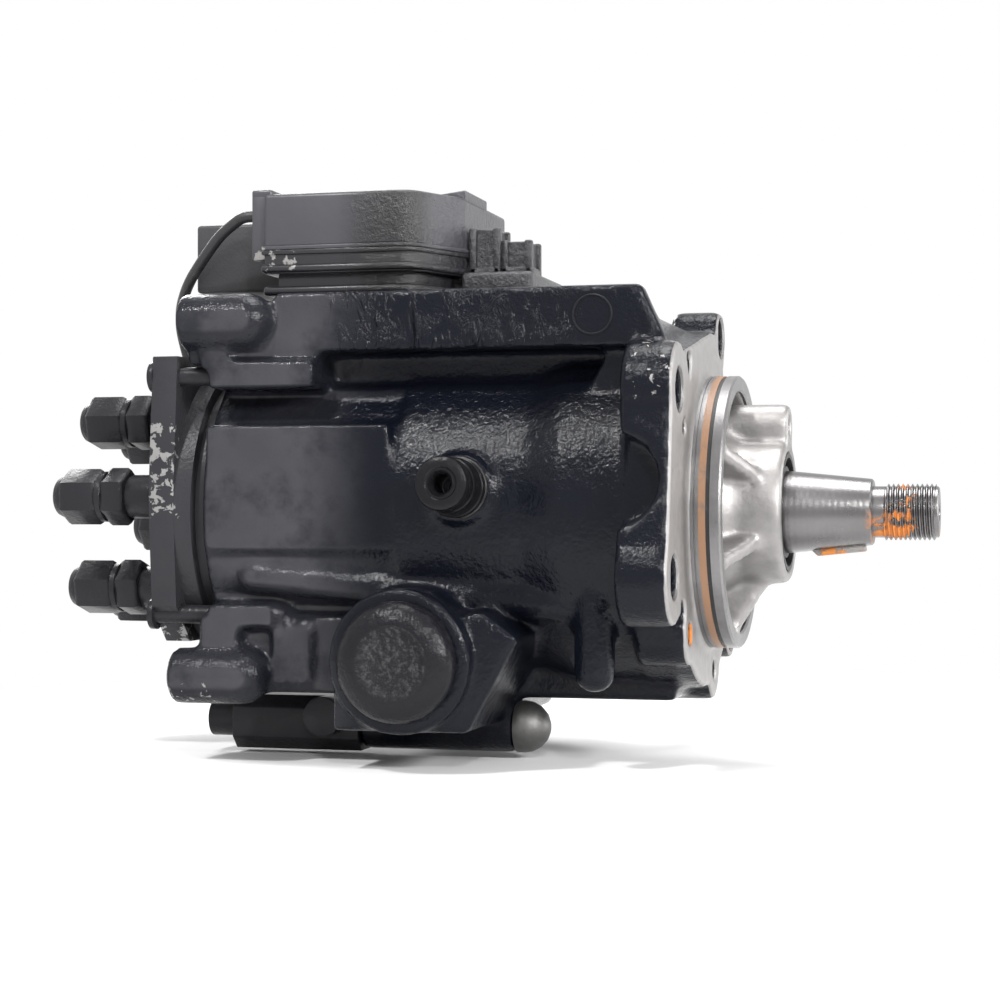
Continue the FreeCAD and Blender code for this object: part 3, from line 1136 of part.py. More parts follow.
def build_timing():
    """The timing piston with its spring, covers and seals."""
    lean = s.timing_advance / 2
    ball_side = s.timing_height * lean.sine()
    half = s.timing_piston_length / 2
    radius = s.timing_bore - s.running_gap
    piston = rod("timing_piston_blank", radius, s.timing_piston_length,
                 (-s.cam_centre, ball_side - half, s.timing_height), "Y")
    slot = s.pin_ball + 0.05
    cross_slot = box("pin_slot", (-s.cam_centre - slot, ball_side - slot, s.timing_height - slot - 0.6),
                     (-s.cam_centre + slot, ball_side + slot, s.timing_height + s.timing_bore + 1))
    spring_seat = rod("spring_seat", 9, 14, (-s.cam_centre, ball_side + half - 14, s.timing_height), "Y")
    keep("timing_piston", cut("timing_piston_solid", piston, [cross_slot, spring_seat]))
    near_stop = ball_side - half - 0.3
    spigot = s.cover_spigot - s.running_gap
    near = turned("near_cover_profile", cover_profile(spigot))
    stop_pin = rod("stop_pin", 5, near_stop + s.timing_near - s.cover_spigot_length + 1,
                   (-s.cam_centre, -s.timing_near + s.cover_spigot_length - 1, s.timing_height), "Y")
    place(near, (-s.cam_centre, -s.timing_near, s.timing_height), FreeCAD.Rotation(FreeCAD.Vector(0, 0, 1), 90))
    keep("timing_cover_near", fuse("near_cover", [near, stop_pin]))
    far = turned("far_cover_profile", cover_profile(spigot))
    place(far, (-s.cam_centre, s.timing_far, s.timing_height), FreeCAD.Rotation(FreeCAD.Vector(0, 0, 1), -90))
    keep("timing_cover_far", far)
    spring_start = (ball_side + half - 14).value
    spring_end = s.timing_far.value - s.cover_spigot_length.value
    keep("timing_spring", coil_spring("timing_coil", 7.6, 1.0, 6, spring_start, spring_end))


def cover_profile(spigot):
    """The profile of a timing cover: spigot forward, dished disc behind."""
    back = -s.cover_thickness
    edge = 2.2
    dish = 1.2
    return [
        (back + dish, 0), (back + dish, s.cover_dish - dish), (back, s.cover_dish),
        (back, s.cover_radius - edge * 2), (back + edge * 0.45, s.cover_radius - edge * 0.75),
        (back + edge * 1.6, s.cover_radius), (0, s.cover_radius), (0, spigot),
        (2, spigot), (2, spigot - 1.8), (4.5, spigot - 1.8), (4.5, spigot),
        (s.cover_spigot_length, spigot), (s.cover_spigot_length, 0)]


def coil_spring(name, radius, wire, turns, start, end):
    """A square-wire compression spring along Y between two faces."""
    pitch = (end - start - 2 * wire) / turns
    helix = Part.makeHelix(pitch, pitch * turns, radius)
    section = Part.makePolygon([
        FreeCAD.Vector(radius - wire, 0, -wire), FreeCAD.Vector(radius + wire, 0, -wire),
        FreeCAD.Vector(radius + wire, 0, wire), FreeCAD.Vector(radius - wire, 0, wire),
        FreeCAD.Vector(radius - wire, 0, -wire)])
    feature = doc.addObject("Part::Feature", name)
    feature.Shape = Part.Wire(helix).makePipeShell([section], True, True)
    base = FreeCAD.Vector(-s.cam_centre.value, start + wire, s.timing_height.value)
    feature.Placement = FreeCAD.Placement(base, TURNS["Y"])
    return feature


def build_seals():
    """The sealing rings of the head and of the timing covers."""
    head = tube("head_seal", s.head_bore, s.head_bore - 2, 2.9, (-s.barrel_rear + 6.05, 0, 0))
    spigot = s.cover_spigot - s.running_gap
    near = tube("near_cover_seal", spigot, spigot - 1.8, 2.4,
                (-s.cam_centre, -s.timing_near + 2.05, s.timing_height), "Y")
    far = tube("far_cover_seal", spigot, spigot - 1.8, 2.4,
               (-s.cam_centre, s.timing_far - 2.05, s.timing_height), "-Y")
    keep("cover_seals", group("seal_set", [head, near, far]))


def build_gallery_parts():
    """The timing solenoid valve and the pressure-control valve in the gallery."""
    half = s.timing_valve_size / 2
    rear = -s.gallery_rear - s.timing_valve_length
    chamfer = 4
    side, height = s.gallery_side, s.gallery_height
    case = padded("timing_valve_case", "YZ_Plane", [
        (side - half, height - half + chamfer), (side - half, height + half - chamfer),
        (side - half + chamfer, height + half), (side + half - chamfer, height + half),
        (side + half, height + half - chamfer), (side + half, height - half + chamfer),
        (side + half - chamfer, height - half), (side - half + chamfer, height - half),
    ], rear, s.timing_valve_length)
    knob = rod("timing_valve_knob", 6.5, 8, (-s.gallery_rear - 10, side - half - 7, height + 3), "Y")
    nose = rod("timing_valve_nose", s.gallery_bore - 0.03, 9, (-s.gallery_rear, side, height))
    tail_length = 10
    tail = rod("timing_valve_tail", 6, tail_length + 1, (rear - tail_length, side, height + 0.5))
    bore = rod("timing_valve_bore", 3.05, 30, (-s.gallery_rear - 20, side, height))
    keep("timing_valve_body", cut("timing_valve_solid", fuse("timing_valve_blank", [case, knob, nose, tail]), [bore]))
    keep("timing_valve_needle", rod("timing_needle", 3, 24, (-s.gallery_rear - 18.5, side, height)))
    front = -s.gallery_front
    radius = s.gallery_radius
    brow = front + s.gallery_plug
    plug = turned("plug_profile", [
        (front - 8, 0), (front - 8, s.gallery_bore - 0.03), (front, s.gallery_bore - 0.03), (front, radius),
        (brow, radius), (brow + radius * 0.3, radius * 0.95), (brow + radius * 0.6, radius * 0.8),
        (brow + radius * 0.85, radius * 0.53), (brow + radius * 0.97, radius * 0.25), (brow + radius, 0)])
    keep("pressure_valve_plug", place(plug, (0, side, height)))
    keep("pressure_valve_piston", rod("pressure_piston", s.gallery_bore - s.running_gap, 10,
                                      (front - 26, side, height)))
    keep("pressure_valve_spring", tube("pressure_spring", 4.4, 3.3, 5.8, (front - 14, side, height)))


def build_unions():
    """The return union with its ball valve, the inlet union and their washers."""
    root = union_root()
    way = union_direction()
    turn = FreeCAD.Rotation(FreeCAD.Vector(1, 0, 0), way)
    r = s.union_radius
    length = s.union_length
    washer = 1.5
    body = turned("return_union_profile", [
        (-11, s.return_seat), (-11, s.union_shank), (washer, s.union_shank), (washer, r + 1),
        (washer + 3.5, r + 1), (washer + 3.5, r - 0.6), (length * 0.4, r - 0.6), (length * 0.4, r),
        (length * 0.58, r), (length * 0.58, r - 1), (length * 0.7, r - 1), (length * 0.7, r),
        (length - 1, r), (length, r - 1), (length, s.union_bore + 0.6), (length - 0.6, s.union_bore),
        (6, s.union_bore), (6, s.return_chamber), (-9, s.return_chamber), (-9, s.return_seat)])
    keep("return_union", place(body, root, turn))
    ball_rise = math.sqrt(s.return_ball.value ** 2 - s.return_seat.value ** 2) + 0.05
    keep("return_valve_ball", ball("return_ball", s.return_ball, root + way * (ball_rise - 9)))
    spring = tube("return_spring", s.return_chamber - 0.4, s.return_chamber - 1.2, 6.8, (0, 0, 0))
    keep("return_valve_spring", place(spring, root + way * -0.85, turn))
    inlet = turned("inlet_union_profile", [
        (-11, s.inlet_bore), (-11, s.union_shank), (washer, s.union_shank), (washer, r + 2.5),
        (washer + 7, r + 2.5), (washer + 7, r - 1), (washer + 16, r - 1), (washer + 17, r - 2),
        (washer + 17, s.inlet_bore)])
    at = (-s.inlet_place, s.inlet_boss, s.inlet_height)
    keep("inlet_union", place(inlet, at, FreeCAD.Rotation(FreeCAD.Vector(0, 0, 1), 90)))
    near_washer = tube("near_washer", r + 1.2, s.union_shank + 0.05, washer, (0, 0, 0), "X")
    place(near_washer, root, turn)
    far_washer = tube("far_washer", r + 2.5, s.union_shank + 0.05, washer, at, "Y")
    keep("union_washers", group("washer_set", [near_washer, far_washer]))


def unit_outline(inset):
    """The plan of the control unit, inset by a distance."""
    return [(-s.unit_rear + inset, -s.unit_near + inset), (-s.unit_corner - inset * 0.5, -s.unit_near + inset),
            (-s.unit_front - inset, -s.unit_corner_side), (-s.unit_front - inset, s.unit_far - inset),
            (-s.unit_rear + inset, s.unit_far - inset)]


def build_control_unit():
    """The control unit on the deck: foot and tray, board, lid and screws."""
    foot_top = s.deck_top + s.unit_foot
    tray_top = foot_top + s.unit_tray
    lid_top = tray_top + s.unit_lid
    foot = padded("unit_foot_solid", "XY_Plane", unit_outline(s.unit_foot_inset), s.deck_top, s.unit_foot + 1)
    tray = padded("unit_tray_solid", "XY_Plane", unit_outline(0), foot_top, s.unit_tray)
    ear = box("unit_ear", (-s.unit_front - 1, -20, s.deck_top), (-s.unit_front + 22.8, 26, s.deck_top + 8))
    boss_a = box("unit_boss_a", (-s.unit_front, -14, s.deck_top + 6), (-s.unit_front + 10.7, 0, s.deck_top + 23))
    boss_b = box("unit_boss_b", (-s.unit_front + 10.2, -12, s.deck_top + 6), (-s.unit_front + 20.8, 2, s.deck_top + 19))
    hollow = padded("unit_tray_hollow", "XY_Plane", unit_outline(s.unit_wall), foot_top + 1.5, s.unit_tray)
    holes = []
    for number, (x, y) in enumerate(unit_screw_places()):
        holes.append(rod("unit_hole_" + str(number), s.unit_screw + 0.2, 40, (x, y, s.deck_top - 1), "Z"))
    keep("control_unit_base", cut("unit_base", fuse("unit_base_blank", [foot, tray, ear, boss_a, boss_b]),
                                  [hollow] + holes))
    board = padded("board_blank", "XY_Plane", unit_outline(s.unit_wall + 0.5), foot_top + 1.5, s.board_thickness)
    board_holes = []
    screws = []
    for number, (x, y) in enumerate(unit_screw_places()):
        board_holes.append(rod("board_hole_" + str(number), s.unit_screw + 1.9, 9, (x, y, foot_top), "Z"))
        shank = rod("unit_shank_" + str(number), s.unit_screw, s.unit_foot + 9,
                    (x, y, s.deck_top - 7.5), "Z")
        head = rod("unit_head_" + str(number), s.unit_screw + 1.6, 2.5, (x, y, foot_top + 1.5), "Z")
        screws.append(fuse("unit_screw_solid_" + str(number), [shank, head]))
    keep("control_board", cut("board_solid", board, board_holes))
    keep("control_unit_screws", group("unit_screw_set", screws))
    lid = padded("lid_blank", "XY_Plane", unit_outline(0.8), tray_top, s.unit_lid)
    lid_hollow = padded("lid_hollow", "XY_Plane", unit_outline(s.unit_wall + 0.8), tray_top - 1,
                        s.unit_lid - s.unit_wall + 1)
    hook_length = 7
    hook_rise = 1.7
    plate_start = -s.unit_rear - 3.9
    plate_edge = -s.unit_near + 2.5
    end_plate = box("lid_end_plate", (plate_start, plate_edge, tray_top + 1), (-s.unit_rear + 1, -s.connector_near - 0.3,
                                                                           lid_top))
    hook = box("lid_hook", (plate_start, plate_edge, lid_top - 1), (plate_start + hook_length, -s.connector_near - 0.3,
                                                                  lid_top + hook_rise))
    crest_rise = 2.5
    crest = padded("lid_crest", "XZ_Plane", [
        (-s.unit_front - 21, lid_top - 1), (-s.unit_front - 21, lid_top), (-s.unit_front - 0.8, lid_top + crest_rise),
        (-s.unit_front - 0.8, lid_top - 1)], 12, 12 + s.unit_corner_side)
    keep("control_unit_cover", cut("lid_solid", fuse("lid_with_ends", [lid, end_plate, hook, crest]), [lid_hollow]))


def build_connector():
    """The connector housing at the unit's rear end, and its pins."""
    front = -s.unit_rear
    rear = front - s.connector_length
    top = s.connector_bottom + s.connector_height
    block = box("connector_block", (rear, -s.connector_near, s.connector_bottom), (front, s.connector_far, top))
    wall = s.connector_wall
    socket = box("connector_socket", (rear + wall, s.connector_far - s.connector_socket, s.connector_bottom + wall),
                 (front - wall, s.connector_far + 1, top - wall))
    keep("connector_housing", cut("connector_solid", block, [socket]))
    pins = []
    middle = front - s.connector_length / 2
    for column in range(3):
        for line in range(3):
            pins.append(rod("connector_pin_" + str(column) + str(line), s.pin_size, 12,
                            (middle + (column - 1) * 6, s.connector_far - s.connector_socket,
                             s.connector_bottom + s.connector_height / 2 + (line - 1) * 5), "Y"))
    keep("connector_pins", group("pin_set", pins))


LEAD_ROUTE = [
    (-143.85, -31.0, 97.0), (-149.5, -31.0, 97.0), (-158.0, -28.5, 92.0), (-166.0, -24.5, 84.5),
    (-174.0, -18.5, 77.0), (-180.0, -10.5, 70.0), (-183.0, -3.5, 63.0), (-182.5, 0.5, 55.0),
    (-180.5, 1.5, 47.0), (-180.5, 0.5, 36.0), (-182.0, 0.0, 26.0), (-182.0, 0.0, 14.5),
]


def lead_path(points):
    """Straight runs joined by tangent arcs through the route's points."""
    points = [FreeCAD.Vector(*point) for point in points]
    edges = []
    at = points[0]
    for before, corner, after in zip(points, points[1:], points[2:]):
        way_in = (corner - before).normalize()
        way_out = (after - corner).normalize()
        turn = way_in.getAngle(way_out)
        shorter = min((corner - before).Length, (after - corner).Length)
        reach = 0.45 * shorter
        radius = reach / math.tan(turn / 2)
        start = corner - way_in * reach
        end = corner + way_out * reach
        inward = (way_out - way_in).normalize()
        centre = corner + inward * (radius / math.cos(turn / 2))
        middle = centre + (corner - centre).normalize() * radius
        edges.append(Part.LineSegment(at, start).toShape())
        edges.append(Part.Arc(start, middle, end).toShape())
        at = end
    edges.append(Part.LineSegment(at, points[-1]).toShape())
    return Part.Wire(edges)


def build_lead():
    """The lead from the control unit to the solenoid."""
    path = lead_path(LEAD_ROUTE)
    start = path.Edges[0].Vertexes[0].Point
    way = path.Edges[0].tangentAt(path.Edges[0].FirstParameter)
    section = Part.Wire([Part.makeCircle(s.lead_radius.value, start, way)])
    feature = doc.addObject("Part::Feature", "lead")
    feature.Shape = path.makePipeShell([section], True, True)
    keep("harness_cable", feature)


build_housing()
build_pilot_rings()
build_shaft()
build_front_end()
tooth_start = build_tooth_ring(build_vane_pump())
build_cam(tooth_start)
build_rotor()
build_head()
build_plate_bolts()
build_delivery()
build_solenoid()
build_timing()
build_seals()
build_gallery_parts()
build_unions()
build_control_unit()
build_connector()
build_lead()
doc.recompute()

for item in doc.Objects:
    if "Invalid" in item.State or "Error" in item.State:
        raise RuntimeError(item.Name + " failed: " + str(item.State))
for node, feature in nodes.items():
    if feature.Shape.isNull() or not feature.Shape.isValid():
        raise RuntimeError(node + " has no valid shape")

os.makedirs("parts", exist_ok=True)
for node, feature in nodes.items():
    feature.Shape.exportStep(os.path.join("parts", node + ".step"))
    print(node, len(feature.Shape.Solids), round(feature.Shape.Volume, 1))
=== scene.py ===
"""Dresses the diesel injection pump: cast housing, shaft, head, timing device, unions and control unit."""

from __future__ import annotations

import json
import logging
import math
from dataclasses import dataclass
from enum import Enum
from itertools import product
from typing import Iterable, Sequence, Union

import bmesh
import bpy
from mathutils import Matrix, Vector


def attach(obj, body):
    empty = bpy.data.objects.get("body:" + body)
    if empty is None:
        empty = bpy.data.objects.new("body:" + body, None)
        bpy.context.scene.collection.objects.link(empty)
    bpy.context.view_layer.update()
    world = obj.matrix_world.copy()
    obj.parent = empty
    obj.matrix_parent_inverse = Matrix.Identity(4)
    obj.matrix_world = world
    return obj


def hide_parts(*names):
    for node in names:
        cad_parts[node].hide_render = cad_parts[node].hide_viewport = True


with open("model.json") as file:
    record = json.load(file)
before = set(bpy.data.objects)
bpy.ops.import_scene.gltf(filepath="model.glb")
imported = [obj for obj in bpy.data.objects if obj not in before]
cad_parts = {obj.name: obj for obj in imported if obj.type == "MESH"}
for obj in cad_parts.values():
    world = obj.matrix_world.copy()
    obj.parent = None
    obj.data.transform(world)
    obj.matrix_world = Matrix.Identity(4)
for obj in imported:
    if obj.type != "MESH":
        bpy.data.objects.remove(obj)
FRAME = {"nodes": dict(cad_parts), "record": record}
LOG = logging.getLogger("injection_pump")

Point = tuple[float, float, float]
Corner = tuple[float, float]
Colour = tuple[float, float, float]
Feed = Union[float, Sequence[float], bpy.types.NodeSocket]
Region = tuple[Point, Point]

METRES_PER_MM = 0.001
FULL_TURN = 2.0 * math.pi

DUST: Colour = (0.045, 0.045, 0.05)
DEEP_BLACK: Colour = (0.006, 0.006, 0.008)
YELLOW_MARK: Colour = (0.55, 0.42, 0.16)
GRIT: Colour = (0.06, 0.06, 0.06)
SCRATCHED: Colour = (0.2, 0.19, 0.18)
DARK_RUST: Colour = (0.38, 0.11, 0.02)
LIGHT_RUST: Colour = (0.60, 0.23, 0.05)
PRIMER: Colour = (0.34, 0.33, 0.32)


class Body(Enum):
    """The moving bodies that pieces ride on."""

    HOUSING = "housing"
    ROTOR = "rotor"


class Graph:
    """The node tree of one finish, with short calls for its usual nodes."""

    def __init__(self, name: str) -> None:
        """Starts a material with a shader and object coordinates.

        Args:
            name: The material's name.
        """
        self.material = bpy.data.materials.new(name)
        self.material.use_nodes = True
        self.tree = self.material.node_tree
        self.tree.nodes.clear()
        self.shader = self.add("ShaderNodeBsdfPrincipled")
        output = self.add("ShaderNodeOutputMaterial")
        self.tree.links.new(self.shader.outputs["BSDF"], output.inputs["Surface"])
        self.place = self.add("ShaderNodeTexCoord").outputs["Object"]

    def add(self, kind: str, **inputs: Feed) -> bpy.types.Node:
        """Adds a node of that kind and fills its inputs; an underscore stands for a space in their names.

        Args:
            kind: The node's type.
            inputs: Each input's link or value.

        Returns:
            The new node.
        """
        node = self.tree.nodes.new(kind)
        for name, value in inputs.items():
            self.feed(node.inputs[name.replace("_", " ")], value)
        return node

    def feed(self, socket: bpy.types.NodeSocket, value: Feed) -> None:
        """Links a socket to another, or sets its number.

        Args:
            socket: The input to fill.
            value: An output socket, a number or a colour.
        """
        if isinstance(value, bpy.types.NodeSocket):
            self.tree.links.new(value, socket)
        elif isinstance(value, (int, float)):
            socket.default_value = value
        else:
            socket.default_value = (*value, 1.0) if len(socket.default_value) > len(value) else tuple(value)

    def set(self, **values: Feed) -> None:
        """Fills the shader's inputs; an underscore stands for a space in their names."""
        for name, value in values.items():
            self.feed(self.shader.inputs[name.replace("_", " ")], value)

    def stretched(self, scale: Point) -> bpy.types.NodeSocket:
        """Object coordinates with each axis scaled.

        Args:
            scale: The scale along X, Y and Z.

        Returns:
            The scaled coordinates.
        """
        return self.add("ShaderNodeMapping", Vector=self.place, Scale=scale).outputs["Vector"]

    def noise(self, scale: float, detail: float = 3.0, rough: float = 0.55,
              stretch: Point = (1.0, 1.0, 1.0), bend: float = 0.0) -> bpy.types.NodeSocket:
        """Cloudy noise on object coordinates.

        Args:
            scale: Clouds per metre.
            detail: Octaves of finer noise.
            rough: Share of the finer octaves.
            stretch: Scale along each axis before the noise.
            bend: Distortion of the noise.

        Returns:
            The noise between 0 and 1.
        """
        node = self.add("ShaderNodeTexNoise", Vector=self.stretched(stretch), Scale=scale, Detail=detail,
                        Roughness=rough, Distortion=bend)
        return node.outputs["Fac"]

    def cells(self, scale: float) -> bpy.types.NodeSocket:
        """Distance to scattered points, for pits and grains."""
        return self.add("ShaderNodeTexVoronoi", Vector=self.place, Scale=scale).outputs["Distance"]

    def lathe_lines(self, scale: float) -> bpy.types.NodeSocket:
        """Fine lines round the X axis, as a cutting tool leaves them.

        Args:
            scale: Lines per metre.

        Returns:
            The lines between 0 and 1.
        """
        node = self.add("ShaderNodeTexWave", Vector=self.place, Scale=scale, Distortion=2.0, Detail=2.0)
        node.wave_type = "RINGS"
        node.rings_direction = "X"
        return node.outputs["Fac"]

    def axis(self, name: str) -> bpy.types.NodeSocket:
        """One object coordinate, in metres."""
        return self.add("ShaderNodeSeparateXYZ", Vector=self.place).outputs[name]

    def facing(self, name: str) -> bpy.types.NodeSocket:
        """How far the surface faces along one axis."""
        normal = self.add("ShaderNodeNewGeometry").outputs["Normal"]
        return self.add("ShaderNodeSeparateXYZ", Vector=normal).outputs[name]

    def within(self, region: Region, soft: float = 0.004) -> bpy.types.NodeSocket:
        """A soft mask that is 1 inside a box.

        Args:
            region: The box's low and high corners, in metres.
            soft: The width of its soft edge.

        Returns:
            The mask.
        """
        inside: Feed = 1.0
        for name, low, high in zip("XYZ", *region):
            along = self.axis(name)
            inside = self.maths("MULTIPLY", inside, self.band(along, low - soft, low))
            inside = self.maths("MULTIPLY", inside, self.band(along, high + soft, high))
        return inside

    def near(self, point: Point, radius: float, soft: float = 0.0008) -> bpy.types.NodeSocket:
        """A mask that is 1 inside a ball, with a soft edge.

        Args:
            point: The ball's centre, in metres.
            radius: Its radius, in metres.
            soft: Half the width of its soft edge.

        Returns:
            The mask.
        """
        node = self.add("ShaderNodeVectorMath")
        node.operation = "DISTANCE"
        self.tree.links.new(self.place, node.inputs[0])
        node.inputs[1].default_value = point
        return self.band(node.outputs["Value"], radius + soft, radius - soft)

    def total(self, *parts: tuple[Feed, float]) -> bpy.types.NodeSocket:
        """The sum of masks, each times its weight.

        Args:
            parts: Each mask with its weight.

        Returns:
            The sum.
        """
        whole: Feed = 0.0
        for mask, weight in parts:
            whole = self.maths("ADD", whole, self.maths("MULTIPLY", mask, weight))
        return whole

    def edges(self) -> bpy.types.NodeSocket:
        """How much the surface bulges, which is most at its edges."""
        return self.add("ShaderNodeNewGeometry").outputs["Pointiness"]

    def band(self, value: Feed, low: float, high: float) -> bpy.types.NodeSocket:
        """A soft step from 0 at low to 1 at high.

        Args:
            value: What the step follows.
            low: Where it starts.
            high: Where it ends.

        Returns:
            The step between 0 and 1.
        """
        node = self.add("ShaderNodeMapRange", Value=value, From_Min=low, From_Max=high)
        node.interpolation_type = "SMOOTHSTEP"
        return node.outputs["Result"]

    def maths(self, way: str, first: Feed, second: Feed) -> bpy.types.NodeSocket:
        """Two values joined by a maths operation.

        Args:
            way: The operation's name.
            first: The first value.
            second: The second value.

        Returns:
            The result.
        """
        node = self.add("ShaderNodeMath")
        node.operation = way
        self.feed(node.inputs[0], first)
        self.feed(node.inputs[1], second)
        return node.outputs[0]

    def blend(self, amount: Feed, first: Feed, second: Feed) -> bpy.types.NodeSocket:
        """A colour between two others.

        Args:
            amount: The share of the second colour.
            first: The first colour.
            second: The second colour.

        Returns:
            The colour between them.
        """
        node = self.add("ShaderNodeMix")
        node.data_type = "RGBA"
        self.feed(node.inputs[0], amount)
        self.feed(node.inputs[6], first)
        self.feed(node.inputs[7], second)
        return node.outputs[2]

    def level(self, amount: Feed, first: Feed, second: Feed) -> bpy.types.NodeSocket:
        """A number between two others.

        Args:
            amount: The share of the second number.
            first: The first number.
            second: The second number.

        Returns:
            The number between them.
        """
        node = self.add("ShaderNodeMix")
        node.data_type = "FLOAT"
        self.feed(node.inputs[0], amount)
        self.feed(node.inputs[2], first)
        self.feed(node.inputs[3], second)
        return node.outputs[0]

    def bump(self, height: Feed, depth: float, strength: float = 1.0,
             under: bpy.types.NodeSocket | None = None) -> bpy.types.NodeSocket:
        """A relief on the surface.

        Args:
            height: The relief between 0 and 1.
            depth: Its depth in metres.
            strength: Its share.
            under: A relief that this one lies on.

        Returns:
            The bent normal.
        """
        node = self.add("ShaderNodeBump", Height=height, Distance=depth, Strength=strength)
        if under is not None:
            self.tree.links.new(under, node.inputs["Normal"])
        return node.outputs["Normal"]


def shade(colour: Colour, share: float) -> Colour:
    """A colour made lighter or darker."""
    red, green, blue = colour
    return share * red, share * green, share * blue


def seen_rays(tree: bpy.types.NodeTree) -> bpy.types.NodeSocket:
    """Whether a ray comes from the camera, a reflection or through glass.

    Args:
        tree: The node tree that asks.

    Returns:
        1 for such a ray, and 0 for one that only brings light.
    """
    rays = tree.nodes.new("ShaderNodeLightPath").outputs
    seen = rays["Is Camera Ray"]
    for name in ("Is Glossy Ray", "Is Transmission Ray"):
        either = tree.nodes.new("ShaderNodeMath")
        either.operation = "MAXIMUM"
        tree.links.new(seen, either.inputs[0])
        tree.links.new(rays[name], either.inputs[1])
        seen = either.outputs[0]
    return seen


@dataclass(frozen=True)
class Finish:
    """A finish that is made once and shared by its pieces."""

    name: str

    def material(self) -> bpy.types.Material:
        """The finish's material, made on its first use."""
        known = bpy.data.materials.get(self.name)
        return known or self.build(Graph(self.name))

    def build(self, graph: Graph) -> bpy.types.Material:
        """Fills the graph; each kind of finish has its own.

        Args:
            graph: The empty node tree.

        Returns:
            The material.
        """
        raise NotImplementedError(self.name)


